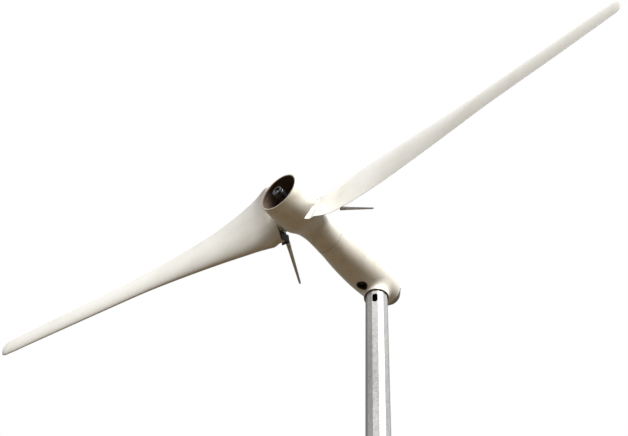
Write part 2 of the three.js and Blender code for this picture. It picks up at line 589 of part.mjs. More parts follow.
function makeArm() {
  const [base, tip] = [new THREE.Vector3(...ARM.base), new THREE.Vector3(...ARM.tip)];
  const along = tip.clone().sub(base).normalize();
  const face = new THREE.Vector3(0, 0, 1).projectOnPlane(along).normalize();
  face.applyAxisAngle(along, -radians(ARM.roll));
  const across = new THREE.Vector3().crossVectors(along, face);
  const lerp = ([from, to], share) => from + (to - from) * share;
  const oval = (share, shrink) => Array.from({ length: 10 }, (_, i) => {
    const angle = (i * Math.PI) / 5;
    return base.clone().lerp(tip, share)
      .addScaledVector(across, (lerp(ARM.wide, share) / 2) * shrink * Math.cos(angle))
      .addScaledVector(face, (lerp(ARM.thick, share) / 2) * shrink * Math.sin(angle));
  });
  const rings = [[0, 0.9], [0.03, 1], [0.5, 1], [0.94, 1], [0.985, 0.8], [1, 0.45]];
  return atPitch(loft(rings.map((ring) => oval(...ring))), ARM.pitch);
}

function makeSpindle() {
  const { radius, inner, flange, flangeThick, face } = SPINDLE;
  const flangeFrom = face - flangeThick;
  return turned([
    [inner, 0], [inner, radius], [flangeFrom, radius], [flangeFrom, flange], [face, flange], [face, 0],
  ]);
}

function makeCrank() {
  const { pin, half, heel, toe, thick, pinTip } = CRANK;
  const rear = SPINDLE.inner - GAP;
  const plate = block([-heel, rear - thick, -half], [CRANK.throw + pin + toe, rear, half]);
  const peg = rod(pin, pinTip, rear - CUT, 12).translate(CRANK.throw, 0, 0);
  return carve([plate, peg]);
}

function makeBlade(parent, number) {
  const group = new THREE.Group();
  group.applyMatrix4(bladeFrame(number));
  parent.add(group);
  add(group, `blade_${number}`, "gelcoat", makeBladeSkin());
  add(group, `root_plate_${number}`, "darkSteel", makeRootPlate());
  add(group, `flyweight_arm_${number}`, "brightSteel", makeArm());
  add(group, `pitch_spindle_${number}`, "brightSteel", makeSpindle());
  add(group, `pitch_crank_${number}`, "darkSteel", makeCrank());
}

// ---- Assembly ---------------------------------------------------------------------------------
const turbine = new THREE.Group();
makeMast(turbine);
makeNacelle(axial);
makeRotor(axial);
add(axial, "pitch_crosshead", "aluminium", makeCrosshead());
makeBlade(axial, 1);
makeBlade(axial, 2);
turbine.add(axial);

export default turbine;
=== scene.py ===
# %% [markdown]
# # A small two-bladed wind turbine
# The object stands on the top section of a twelve-sided steel mast. A slim glass-fibre nacelle turns on the
# mast's head, and at its free end turns an open, cup-shaped hub with two blades. The blades are downwind of the
# mast and carry small steel arms that turn them when the rotor runs too fast. The fixed CAD model comes first:
# everything below is placed from its nodes and joints, rides on its bodies and stays inside its box.

import json
import math

import bmesh
import bpy
import numpy as np
from mathutils import Matrix, Vector


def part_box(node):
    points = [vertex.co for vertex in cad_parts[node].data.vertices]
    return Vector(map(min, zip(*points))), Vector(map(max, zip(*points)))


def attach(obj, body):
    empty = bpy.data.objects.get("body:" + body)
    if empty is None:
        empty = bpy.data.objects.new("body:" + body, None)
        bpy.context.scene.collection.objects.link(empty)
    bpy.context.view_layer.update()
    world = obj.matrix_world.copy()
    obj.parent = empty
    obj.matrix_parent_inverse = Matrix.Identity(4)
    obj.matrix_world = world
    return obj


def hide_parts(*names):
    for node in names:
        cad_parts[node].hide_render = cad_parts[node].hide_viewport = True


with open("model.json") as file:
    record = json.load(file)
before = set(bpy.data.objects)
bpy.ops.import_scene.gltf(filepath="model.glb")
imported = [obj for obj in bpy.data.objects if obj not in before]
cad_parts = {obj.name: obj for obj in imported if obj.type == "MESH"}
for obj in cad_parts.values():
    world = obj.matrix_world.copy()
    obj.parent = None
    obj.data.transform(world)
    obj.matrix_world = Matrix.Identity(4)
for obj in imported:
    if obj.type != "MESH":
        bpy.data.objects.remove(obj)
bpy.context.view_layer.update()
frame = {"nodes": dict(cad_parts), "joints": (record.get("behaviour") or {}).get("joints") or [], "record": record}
MM = 0.001

# %% [markdown]
# ## Axes
# Three lines place everything: the mast's axis, the rotor's axis and each blade's pitch axis, all read from the
# CAD. In the axial frame Y runs back along the shaft from the middle of the hub's mouth. In a blade's frame X
# points to the leading edge, Y out along the blade and Z back towards the nacelle.

# %% The axial frame and the blade frames
BACK = Vector((0, 1, 0))
hub_low, hub_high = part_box("hub_shell")
MOUTH = Vector((0, hub_low.y, (hub_low.z + hub_high.z) / 2))
AXIAL = Matrix.Translation(MOUTH)
ABOUT_MAST = Matrix.Rotation(math.pi / 2, 4, "X")  # turns a piece made about Y so that it stands on the mast
joints = {joint["name"]: joint for joint in frame["joints"]}


def blade_frame(number):
    """The frame of a blade at rest."""
    joint = joints[f"blade_{number}_pitch"]
    outwards = Vector(joint["axis"]).normalized()
    ahead = outwards.cross(BACK).normalized()
    made = Matrix((ahead, outwards, ahead.cross(outwards))).transposed().to_4x4()
    made.translation = Vector(joint["pos_m"])
    return made


print("mouth", tuple(round(value, 3) for value in MOUTH))

# %% [markdown]
# ## Building materials from a few nodes
# Weather, casting and machining all leave patterns that can be made from noise. These helpers give a noise, a mix
# of two colours, a change of range and a bump. A socket knows its tree, so only the first helper is told it.
# Every pattern reads Object coordinates. All pieces sit at the origin, so that is real space in metres.


# %% Node helpers
def add(tree, kind, inputs=(), **options):
    """A new node. Inputs are values or sockets by name or number."""
    made = tree.nodes.new(kind)
    for option, value in options.items():
        setattr(made, option, value)
    for name, value in dict(inputs).items():
        if isinstance(value, bpy.types.NodeSocket):
            tree.links.new(value, made.inputs[name])
        else:
            made.inputs[name].default_value = value
    return made


def noise(place, scale, detail=3.0, stretch=None):
    """Smooth noise from 0 to 1. A small number in stretch draws it out along that axis."""
    if stretch:
        place = add(place.id_data, "ShaderNodeMapping", {"Vector": place, "Scale": stretch}).outputs[0]
    inputs = {"Vector": place, "Scale": scale, "Detail": detail, "Roughness": 0.6}
    return add(place.id_data, "ShaderNodeTexNoise", inputs).outputs["Fac"]


def span(value, low, high, to_low=0.0, to_high=1.0):
    """Brings a value's range from low and high to to_low and to_high, clamped."""
    inputs = {"Value": value, "From Min": low, "From Max": high, "To Min": to_low, "To Max": to_high}
    return add(value.id_data, "ShaderNodeMapRange", inputs).outputs["Result"]


def reckon(operation, *values):
    """The result of a Math node. The first value is a socket."""
    return add(values[0].id_data, "ShaderNodeMath", enumerate(values), operation=operation).outputs[0]


def blend(share, first, second):
    """The first colour where share is 0 and the second where it is 1."""
    inputs = {0: share, 6: first, 7: second}
    return add(share.id_data, "ShaderNodeMix", inputs, data_type="RGBA").outputs[2]


def bump(shader, height, distance, under=None):
    """Raises the surface by height times distance, on top of an earlier bump."""
    inputs = {"Height": height, "Distance": distance, "Strength": 1.0}
    if under:
        inputs["Normal"] = under
    normal = add(shader.id_data, "ShaderNodeBump", inputs).outputs["Normal"]
    shader.id_data.links.new(normal, shader.inputs["Normal"])
    return normal


def begin(name, **constants):
    """A new material, its shader and its Object coordinates. Constants go on the shader's sockets."""
    material = bpy.data.materials.new(name)
    material.use_nodes = True
    shader = material.node_tree.nodes["Principled BSDF"]
    for socket, value in constants.items():
        shader.inputs[socket.replace("_", " ")].default_value = value
    return material, shader, add(material.node_tree, "ShaderNodeTexCoord").outputs["Object"]


def paint(shader, colour, roughness):
    """Links a colour and a roughness to the shader."""
    shader.id_data.links.new(colour, shader.inputs["Base Color"])
    shader.id_data.links.new(roughness, shader.inputs["Roughness"])


def darker(colour, share):
    """The colour times share."""
    return [value * share for value in colour[:3]] + [1]


# %% [markdown]
# ## Gelcoat
# The hub, nacelle and blades are white gelcoat over glass fibre. Years outdoors leave it slightly creamy, with
# faint rain streaks that run down, grey specks, and a shine that is worn in patches. The weave below prints
# through as a very low ripple. The blades get the same finish with the streaks drawn along the blade instead.


# %% Gelcoat
def gelcoat(name, clean, aged, streak):
    """Weathered white gelcoat; streak scales the axes of the streaks."""
    material, shader, place = begin(name, Coat_Weight=0.3, Coat_Roughness=0.12)
    clouds = noise(place, 4.0, 4.0)
    streaks = noise(place, 16.0, 4.0, streak)
    specks = noise(place, 210.0, 1.0)
    weather = reckon("MULTIPLY", span(clouds, 0.35, 0.7), span(streaks, 0.45, 0.7))
    colour = blend(weather, clean, aged)
    colour = blend(span(specks, 0.74, 0.80, 0.0, 0.35), colour, (0.16, 0.13, 0.10, 1))
    paint(shader, colour, span(clouds, 0.3, 0.7, 0.3, 0.46))
    ripple = bump(shader, noise(place, 30.0, 2.0), 0.0006)
    bump(shader, noise(place, 700.0, 2.0), 0.00006, ripple)
    return material


# The rim's gelcoat is the white gelcoat darkened to brown, as painted shade on the lip's forward faces.
rim_gelcoat_painted_shade = gelcoat("rim gelcoat, painted shade", (0.50, 0.45, 0.37, 1), (0.36, 0.31, 0.24, 1), (1, 1, 1))
nacelle_gelcoat = gelcoat("nacelle gelcoat", (0.83, 0.815, 0.755, 1), (0.60, 0.565, 0.46, 1), (1, 1, 0.07))
blade_gelcoat = gelcoat("blade gelcoat", (0.84, 0.835, 0.80, 1), (0.66, 0.64, 0.56, 1), (0.07, 1, 0.3))

# %% The bare laminate inside the hub, made very dark as painted shade in the cup, with brown dust
hub_laminate_and_shade, shader, place = begin("hub laminate and painted shade", Specular_IOR_Level=0.2)
dust = noise(place, 22.0, 5.0)
colour = blend(span(dust, 0.4, 0.75), (0.10, 0.068, 0.058, 1), (0.20, 0.135, 0.095, 1))
paint(shader, colour, span(dust, 0.3, 0.7, 0.75, 0.95))
bump(shader, noise(place, 260.0, 3.0), 0.0004)
print("finishes so far:", len(bpy.data.materials))

# %% [markdown]
# ## Metals
# Hot-dip zinc freezes into flat crystals that each catch the light differently, so a Voronoi cell stands in for
# one, with white bloom that runs down. Machined steel has fine rings from the lathe, cast iron a sandy skin, and
# the dark brackets are blacked steel with some rust. One function gives all of those.

# %% Galvanised steel
galvanised_steel, shader, place = begin("galvanised steel", Metallic=0.35)
inputs = {"Vector": place, "Scale": 70.0, "Randomness": 1.0}
cell = add(place.id_data, "ShaderNodeTexVoronoi", inputs).outputs["Color"]
spangle = add(place.id_data, "ShaderNodeSeparateColor", {"Color": cell}).outputs["Red"]
bloom = noise(place, 20.0, 4.0, (1, 1, 0.12))
colour = blend(spangle, (0.37, 0.375, 0.39, 1), (0.45, 0.45, 0.455, 1))
colour = blend(span(bloom, 0.5, 0.75, 0.0, 0.6), colour, (0.52, 0.52, 0.505, 1))
paint(shader, colour, span(spangle, 0.0, 1.0, 0.42, 0.56))
grain = bump(shader, spangle, 0.00005)
bump(shader, noise(place, 240.0, 2.0), 0.00012, grain)


# %% Other metals
def metal(name, colour, stain, metallic, rough, grain, height, stretch=None, stained=(0.55, 0.8)):
    """Bare or blacked metal. Grain is the scale of its texture and stretch turns it into tool marks."""
    material, shader, place = begin(name, Metallic=metallic)
    marks = noise(place, grain, 3.0, stretch)
    cloud = noise(place, 35.0, 5.0)
    tone = blend(marks, darker(colour, 0.82), colour)
    tone = blend(span(cloud, *stained, 0.0, 0.8), tone, stain)
    paint(shader, tone, span(cloud, 0.3, 0.75, rough - 0.08, rough + 0.12))
    bump(shader, marks, height)
    return material


RUST = (0.20, 0.085, 0.035, 1)
OXIDE = (0.42, 0.42, 0.42, 1)
LATHE = (0.05, 1, 0.05)
dark_steel = metal("blacked steel", (0.035, 0.037, 0.048, 1), RUST, 0.55, 0.48, 150.0, 0.0002)
arm_steel = metal("arm steel", (0.70, 0.72, 0.77, 1), (0.50, 0.49, 0.48, 1), 0.15, 0.42, 90.0, 0.0001)
machined_steel = metal("machined steel", (0.60, 0.61, 0.63, 1), RUST, 1.0, 0.28, 800.0, 0.00005, LATHE, (0.66, 0.9))
cap_steel = metal("cap steel", (0.13, 0.13, 0.14, 1), RUST, 0.85, 0.34, 500.0, 0.00005, LATHE, (0.6, 0.85))
bolt_steel = metal("zinc-plated bolts", (0.50, 0.49, 0.45, 1), RUST, 0.9, 0.38, 400.0, 0.00005, None, (0.6, 0.8))
cast_iron = metal("cast iron", (0.10, 0.105, 0.11, 1), RUST, 0.5, 0.66, 320.0, 0.0006)
aluminium = metal("cast aluminium", (0.56, 0.57, 0.58, 1), OXIDE, 0.85, 0.42, 380.0, 0.0003)
bronze = metal("bearing bronze", (0.55, 0.37, 0.14, 1), (0.12, 0.16, 0.09, 1), 0.95, 0.33, 500.0, 0.0001)
WOUND = (6, 0.6, 6)
copper = metal("copper windings", (0.62, 0.26, 0.12, 1), (0.10, 0.03, 0.02, 1), 0.9, 0.35, 60.0, 0.0012, WOUND)
print("finishes so far:", len(bpy.data.materials))

# %% [markdown]
# ## Rubber, plastic and the grey tail
# The tail cap is grey plastic that has chalked in the sun; its grey is painted shade on the nacelle's rear. Seals
# are black rubber, slightly dusty, and the electrical parts are dark moulded plastic with a fine spark-eroded skin.


# %% Rubber and plastic
def moulded(name, colour, dusty, rough, grain, height):
    """Rubber or plastic with dust in its pores."""
    material, shader, place = begin(name)
    dust = noise(place, 18.0, 5.0)
    pores = noise(place, grain, 2.0)
    tone = blend(span(dust, 0.42, 0.78, 0.0, 0.7), colour, dusty)
    tone = blend(span(pores, 0.6, 0.8, 0.0, 0.4), tone, darker(colour, 0.6))
    paint(shader, tone, span(dust, 0.3, 0.7, rough - 0.1, rough + 0.1))
    bump(shader, pores, height)
    return material


# The tail cap's grey is painted shade on the nacelle's rear; the chalky dust on it is real wear.
tail_grey_painted_shade = moulded("chalked grey plastic, painted shade", (0.33, 0.33, 0.32, 1), (0.43, 0.42, 0.39, 1), 0.55, 450.0, 0.0001)
rubber = moulded("black rubber", (0.028, 0.026, 0.028, 1), (0.12, 0.10, 0.09, 1), 0.75, 520.0, 0.0002)
plastic = moulded("dark plastic", (0.045, 0.05, 0.06, 1), (0.11, 0.11, 0.11, 1), 0.5, 600.0, 0.0002)

# %% Every CAD node gets the finish of its slot
SLOT_FINISH = {
    "gelcoat": nacelle_gelcoat, "cap_grey": tail_grey_painted_shade, "galvanised": galvanised_steel,
    "dark_steel": dark_steel, "bright_steel": machined_steel, "cast_iron": cast_iron,
    "aluminium": aluminium, "copper": copper, "bronze": bronze, "rubber": rubber, "plastic": plastic,
}
node_slot = {entry["node"]: entry["material_slot"] for entry in frame["record"]["subparts"]}
for name, cad_node in frame["nodes"].items():
    cad_node.data.materials.clear()
    cad_node.data.materials.append(SLOT_FINISH[node_slot[name]])
print("CAD nodes with a finish:", len(frame["nodes"]))

# %% [markdown]
# ## Making and mounting pieces
# Each piece is a plain mesh with its place in its vertices. It is finished once it has a material and rides on a
# body, and the CAD nodes that it stands for are hidden. Modifiers are used up as soon as they are done.


# %% Piece helpers
def put(name, data):
    """A new object in the scene."""
    made = bpy.data.objects.new(name, data)
    bpy.context.scene.collection.objects.link(made)
    return made


def shade(piece, sharp):
    """Smooth shading, except where faces meet at more than sharp degrees."""
    piece.data.shade_smooth()
    piece.data.set_sharp_from_angle(angle=math.radians(sharp))
    return piece


def turn_out(piece, sharp=32.0):
    """Turns the faces of a closed mesh outwards and shades it."""
    cleaned = bmesh.new()
    cleaned.from_mesh(piece.data)
    bmesh.ops.recalc_face_normals(cleaned, faces=cleaned.faces)
    cleaned.to_mesh(piece.data)
    cleaned.free()
    return shade(piece, sharp)


def piece_of(name, vertices, faces, place=Matrix(), sharp=32.0):
    """A mesh object from vertices in a frame."""
    matrix = np.array(place)
    points = np.asarray(vertices, float) @ matrix[:3, :3].T + matrix[:3, 3]
    mesh = bpy.data.meshes.new(name)
    mesh.from_pydata(points.tolist(), [], [list(map(int, face)) for face in faces])
    return turn_out(put(name, mesh), sharp)


def bands(rings, around, closed=False, ends=False):
    """Faces between rings of vertices. Closed joins the last ring to the first, and ends fills both."""
    faces = []
    for ring in range(rings if closed else rings - 1):
        here, there = ring * around, (ring + 1) % rings * around
        for i in range(around):
            j = (i + 1) % around
            faces.append((here + i, here + j, there + j, there + i))
    return faces + ([range(around), range((rings - 1) * around, rings * around)] if ends else [])


def use_up(piece):
    """Turns the result of the piece's modifiers into its own mesh."""
    seen = piece.evaluated_get(bpy.context.evaluated_depsgraph_get())
    mesh = bpy.data.meshes.new_from_object(seen)
    piece.modifiers.clear()
    piece.data = mesh
    return piece


def cut(piece, *tools):
    """Cuts the tools from the piece and throws them away."""
    for tool in tools:
        step = piece.modifiers.new("cut", "BOOLEAN")
        step.operation, step.solver, step.object = "DIFFERENCE", "EXACT", tool
    use_up(piece)
    for tool in tools:
        bpy.data.objects.remove(tool)


def round_edges(piece, width, segments=2, angle=30.0):
    """Rounds every edge sharper than the angle."""
    step = piece.modifiers.new("round", "BEVEL")
    step.width, step.segments, step.limit_method = width, segments, "ANGLE"
    step.angle_limit = math.radians(angle)
    step.harden_normals = True
    return use_up(piece)


def give_wall(piece, thick):
    """Gives a surface a wall on its inner side."""
    step = piece.modifiers.new("wall", "SOLIDIFY")
    step.thickness, step.offset, step.use_even_offset = thick, -1, True
    return use_up(piece)


def mount(piece, finish, body, slot, *nodes):
    """Gives a finished piece its material and body, and hides the CAD nodes that it stands for. The slot is not used.
    """
    if not piece.data.materials:
        piece.data.materials.append(finish)
    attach(piece, body)
    if nodes:
        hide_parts(*nodes)
    print(f"{piece.name}: {len(piece.data.polygons)} faces on {body}")


# %% [markdown]
# ## Turned shapes
# Most of the machine is round about a line, and a lathe shape needs only its outline, a closed loop of (distance
# along the line, radius). Its corners are rounded in the outline itself, which leaves no bevel to go wrong.


# %% Outlines and the lathe
def rounded(outline, radius, steps=4):
    """The outline with each real corner turned into a short curve."""
    points = [Vector(point) for point in outline]
    made = []
    for index, corner in enumerate(points):
        before, after = points[index - 1] - corner, points[(index + 1) % len(points)] - corner
        on_line = corner.y < 1e-6
        if on_line or min(before.length, after.length) < 1e-7 or before.angle(after) > math.radians(160):
            made.append(tuple(corner))
            continue
        reach = min(radius, before.length * 0.45, after.length * 0.45)
        first, last = corner + before.normalized() * reach, corner + after.normalized() * reach
        for step in range(steps + 1):
            t = step / steps
            made.append(tuple(first * (1 - t) ** 2 + corner * (2 * t * (1 - t)) + last * t**2))
    return made


def turned(name, outline, place=AXIAL, sides=96):
    """The closed outline turned about the frame's Y axis."""
    angles = np.arange(sides) * 2 * math.pi / sides
    vertices, rows, faces = [], [], []
    for along, radius in outline:
        if radius < 1e-6:
            rows.append([len(vertices)] * sides)
            vertices.append((0, along, 0))
        else:
            rows.append(list(range(len(vertices), len(vertices) + sides)))
            vertices += [(radius * math.sin(a), along, radius * math.cos(a)) for a in angles]
    for row, following in zip(rows, rows[1:] + rows[:1]):
        if row[0] == row[1] and following[0] == following[1]:
            continue
        for i in range(sides):
            j = (i + 1) % sides
            faces.append(dict.fromkeys([row[i], row[j], following[j], following[i]]))
    return piece_of(name, vertices, faces, place)


def bar(inner, outer, low, high):
    """The outline of a ring, or of a rod where inner is 0."""
    return [(low, inner), (low, outer), (high, outer), (high, inner)]


def outline_of(node, sideways):
    """The outer line of a turned CAD node, from its vertices near one side: (behind the mouth, radius)."""
    rows = {}
    for vertex in frame["nodes"][node].data.vertices:
        point = vertex.co - MOUTH
        if abs(point[sideways]) < 0.04:
            along = round(point.y, 4)
            rows[along] = max(rows.get(along, 0), math.hypot(point.x, point.z))
    line = sorted(rows.items())
    kept = [line[0]]
    for (a0, r0), row, (a1, r1) in zip(line, line[1:], line[2:]):
        if row[1] > 0.96 * np.interp(row[0], (a0, a1), (r0, r1)):
            kept.append(row)
    return kept + [line[-1]]


def smooth_line(rows, count):
    """Evenly spaced points of a smooth curve through the rows."""
    x, y = np.array(rows).T
    slope = np.gradient(y, x)
    at = np.linspace(x[0], x[-1], count)
    i = np.clip(np.searchsorted(x, at) - 1, 0, len(x) - 2)
    width = x[i + 1] - x[i]
    t = (at - x[i]) / width
    start = (2 * t**3 - 3 * t**2 + 1) * y[i] + (t**3 - 2 * t**2 + t) * width * slope[i]
    return at, start + (3 * t**2 - 2 * t**3) * y[i + 1] + (t**3 - t**2) * width * slope[i + 1]


# %% [markdown]
# ## The hub
# A deep glass-fibre cup with a rolled lip at its mouth, a round belly where the blades enter, and a waist that
# runs into the nacelle. The outline is taken from the CAD hub and smoothed. Inside it is bare laminate, made very
# dark as painted shade in the cup, so the faces that look inwards get a second material. The lip's forward faces
# get a third, the gelcoat darkened to brown as painted shade. The two holes for the pitch spindles are cut at the
# end.

# %% Hub shell
HUB_WALL, LIP_WIDTH, LIP_ROUND = 0.006, 0.0183, 0.0045
PITCH_HOLE = 0.047
hub_along, hub_radius = smooth_line(outline_of("hub_shell", 0), 90)
hub_outside = [(a, r) for a, r in zip(hub_along, hub_radius) if a > 0.004]
hub_wall = [(a, r - HUB_WALL) for a, r in reversed(hub_outside) if a > 0.018]
lip_inside = hub_high.z - MOUTH.z - LIP_WIDTH
lip = [hub_wall[-1], (0.011, lip_inside), (0.0, lip_inside), (0.0, hub_radius[0]), hub_outside[0]]
lip = rounded(lip, LIP_ROUND)[5:-5]  # without its first and last corner, which lie on the smooth line
hub = turned("hub_cup", lip + hub_outside + hub_wall, sides=144)
cut(hub, *[turned("hole", bar(0, PITCH_HOLE, 0.07, 0.17), blade_frame(number), 64) for number in (1, 2)])
turn_out(hub)
for finish in (nacelle_gelcoat, hub_laminate_and_shade, rim_gelcoat_painted_shade):
    hub.data.materials.append(finish)
# Inward faces take the laminate with its painted shade; the lip's forward faces take the rim's painted shade.
for face in hub.data.polygons:
    outwards = Vector((face.center.x, 0, face.center.z - MOUTH.z))
    if face.normal.dot(outwards) < -0.5 * outwards.length:
        face.material_index = 1
    elif face.normal.y < -0.3 and face.center.y < MOUTH.y + 0.01:
        face.material_index = 2
mount(hub, nacelle_gelcoat, "rotor", "gelcoat", "hub_shell")

# %% Pitch seals
SEAL_BORE, SEAL_OUTER, SEAL_TOP = 0.0206, PITCH_HOLE - 0.0004, 0.030
SEAL_FROM, SEAL_EDGE, SEAL_TO = 0.1335, 0.1385, 0.1405
boot = [(SEAL_FROM, SEAL_BORE), (SEAL_FROM, SEAL_OUTER), (SEAL_EDGE, SEAL_OUTER), (SEAL_TO, SEAL_TOP),
        (SEAL_TO, SEAL_BORE)]
for number in (1, 2):
    seal = turned(f"pitch_seal_{number}", rounded(boot, 0.001), blade_frame(number), 64)
    mount(seal, nacelle_gelcoat, "rotor", "gelcoat")

# %% [markdown]
# ## The nacelle
# A turned shape that runs smoothly into the upright skirt round the mast. Two tubes that are only joined leave a
# hard crease, so the distances to both are blended at each point of a grid, and the surface where the blend is
# zero is meshed. The ends, the lid and the port are then cut from it, and Solidify gives it its wall.

# %% The nacelle's distance function
NACELLE_WALL = 0.005
FILLET = 0.032
SKIRT_FROM = -0.04  # below the rotor axis
body_low, body_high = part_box("nacelle_body")
front, rear, skirt_foot = body_low.y - MOUTH.y, body_high.y - MOUTH.y, body_low.z - MOUTH.z
rim = [vertex.co for vertex in frame["nodes"]["nacelle_body"].data.vertices if vertex.co.z < body_low.z + 0.001]
rim_radii = [math.hypot(point.x, point.y) for point in rim]
skirt_bore, skirt_radius = min(rim_radii), max(rim_radii)
nacelle_along, nacelle_radius = smooth_line(outline_of("nacelle_body", 2), 120)


def from_nacelle(points):
    """Signed distance of points in the axial frame from the nacelle's skin, negative inside."""
    x, y, z = np.moveaxis(np.asarray(points, float), -1, 0)
    shell = np.hypot(x, z) - np.interp(y, nacelle_along, nacelle_radius)
    skirt = np.maximum(np.hypot(x, y + MOUTH.y) - skirt_radius, z - SKIRT_FROM)
    near = np.maximum(FILLET - abs(shell - skirt), 0) / FILLET
    return np.minimum(shell, skirt) - near**2 * FILLET / 4


def skin_between(low, high, step, tiny=1e-5):
    """Vertices and faces of the zero surface inside a box: one vertex for each grid cell that it crosses."""
    axes = [np.arange(a, b + step, step) for a, b in zip(low, high)]
    inside = from_nacelle(np.stack(np.meshgrid(*axes, indexing="ij"), -1)) < 0
    corners = [inside[i : i - 1 or None, j : j - 1 or None, k : k - 1 or None]
               for i in (0, 1) for j in (0, 1) for k in (0, 1)]
    crossed = np.any(corners, 0) & ~np.all(corners, 0)
    number = np.full(crossed.shape, -1)
    number[crossed] = np.arange(crossed.sum())
    points = (np.argwhere(crossed) + 0.5) * step + low
    faces = []
    for axis in range(3):
        u, v = (axis + 1) % 3, (axis + 2) % 3
        ahead = np.moveaxis(inside, axis, 0)[1:] != np.moveaxis(inside, axis, 0)[:-1]
        for cell in np.argwhere(np.moveaxis(ahead, 0, axis)):
            if cell[u] == 0 or cell[v] == 0 or max(cell[u] - number.shape[u], cell[v] - number.shape[v]) >= 0:
                continue
            ring = []
            for du, dv in ((0, 0), (1, 0), (1, 1), (0, 1)):
                at = cell.copy()
                at[u] -= du
                at[v] -= dv
                ring.append(number[tuple(at)])
            faces.append(ring)
    for _ in range(6):  # each pass moves every point down its slope to the surface
        here = from_nacelle(points)
        slope = np.stack([(from_nacelle(points + tiny * axis) - here) / tiny for axis in np.eye(3)], -1)
        points -= here[:, None] * slope / np.maximum((slope**2).sum(-1, keepdims=True), 1e-6)
    return points, faces


skin_points, skin_faces = skin_between((-0.14, front - 0.02, skirt_foot - 0.02), (0.14, rear + 0.02, 0.14), 0.0055)
print("nacelle skin:", len(skin_points), "points")

# %% Cutting the skin into body and lid
LID_GAP = 0.0006
lid_low, lid_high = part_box("nacelle_lid")


def trimmed(name, is_lid):
    """The skin between its ends, either only the lid's area or all but that."""
    margin = LID_GAP if is_lid else -LID_GAP
    lid_front, lid_rear, lid_foot = lid_low.y + margin, lid_high.y - margin, lid_low.z + margin
    shape = piece_of(name, skin_points, skin_faces, AXIAL)
    made = bmesh.new()
    made.from_mesh(shape.data)
    for axis, at, way, clear in (
        (1, body_low.y, -1, True), (1, body_high.y, 1, True), (2, body_low.z, -1, True),
        (1, lid_front, -1, False), (1, lid_rear, 1, False), (2, lid_foot, -1, False),
    ):
        spot, facing = Vector(), Vector()
        spot[axis], facing[axis] = at, way
        everything = made.verts[:] + made.edges[:] + made.faces[:]
        bmesh.ops.bisect_plane(
            made, geom=everything, plane_co=spot, plane_no=facing, clear_outer=clear, dist=0.0004
        )
    wrong = []
    for face in made.faces:
        centre = face.calc_center_median()
        if (lid_front < centre.y < lid_rear and centre.z > lid_foot) != is_lid:
            wrong.append(face)
    bmesh.ops.delete(made, geom=wrong, context="FACES")
    made.to_mesh(shape.data)
    made.free()
    return shade(give_wall(shape, NACELLE_WALL), 50)


nacelle = trimmed("nacelle_shell", False)
lid = trimmed("nacelle_service_lid", True)

# %% [markdown]
# ## The port and its grommet
# A round port under the nacelle lets air in and lets a fitter look at the slip rings. Its rubber grommet follows
# the curved skin, so each point of its lip is found by walking in along the port's axis until it meets the skin.

# %% Port
PORT_RADIUS = 0.031
bush_low, bush_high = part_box("port_bushing")
port_middle = (bush_low + bush_high) / 2 - MOUTH
port_way = Vector((port_middle.x, 0, port_middle.z)).normalized()
port_side = port_way.cross(BACK)
port_place = Matrix((port_side, port_way, port_side.cross(port_way))).transposed().to_4x4()
port_place.translation = MOUTH + BACK * port_middle.y
cut(nacelle, turned("hole", bar(0, PORT_RADIUS, 0.09, 0.16), port_place, 64))
shade(nacelle, 50)
mount(nacelle, nacelle_gelcoat, "nacelle", "gelcoat", "nacelle_body")
mount(lid, nacelle_gelcoat, "nacelle", "gelcoat", "nacelle_lid")

# %% Grommet, as rows of (radius, height over the skin) in millimetres
GROMMET = [(27.2, -14), (26.6, -9), (26.6, 0), (27.6, 2.6), (30, 3.4), (33, 3.0), (34.6, 1.6), (34.8, -0.6),
           (31.2, -0.6), (30.6, -2), (30.6, -14)]
GROMMET_SIDES = 64


def in_port(depth, side, along):
    """A point beside the port's axis, at a distance from the rotor axis."""
    return port_way * depth + port_side * side + BACK * (port_middle.y + along)


grommet_points = []
for step in range(GROMMET_SIDES):
    angle = step * 2 * math.pi / GROMMET_SIDES
    for radius, stand in GROMMET:
        side, along = radius * MM * math.cos(angle), radius * MM * math.sin(angle)
        near, far = 0.07, 0.2
        for _ in range(24):
            middle = (near + far) / 2
            inside = from_nacelle(np.array(in_port(middle, side, along))) < 0
            near, far = (middle, far) if inside else (near, middle)
        grommet_points.append(in_port(near + stand * MM, side, along))
grommet_faces = bands(GROMMET_SIDES, len(GROMMET), closed=True)
mount(piece_of("port_grommet", grommet_points, grommet_faces, AXIAL, 50), rubber, "nacelle", "rubber", "port_bushing")

# %% [markdown]
# ## Tail cap and skirt lip
# The tail cap is a separate grey moulding that is pushed over the nacelle's rear and screwed on; its grey is painted
# shade on the rear's underside. Round the mast, a ribbed rubber lip closes most of the gap under the skirt and keeps
# birds and rain out.

# %% Tail cap
cap_low, cap_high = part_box("rear_cap")
cap_front, cap_end = cap_low.y - MOUTH.y, cap_high.y - MOUTH.y
cap_rows = [row for row in outline_of("rear_cap", 2) if row[1] > 0.02] + [(cap_end - 0.0025, 0.018)]
cap_along, cap_radius = smooth_line(cap_rows, 24)
cap_line = [(cap_front, cap_radius[0] - 0.004)] + list(zip(cap_along, cap_radius)) + [(cap_end, 0)]
cap_inside = [(a - 0.002, max(r - 0.006, 0.004)) for a, r in zip(cap_along, cap_radius)][::-1]
cap_inside = [row for row in [(cap_end - 0.005, 0)] + cap_inside if row[0] > cap_front + 0.002]
tail = turned("tail_cap", cap_line + cap_inside + [(cap_front, cap_radius[0] - 0.007)])
mount(tail, tail_grey_painted_shade, "nacelle", "cap_grey", "rear_cap")

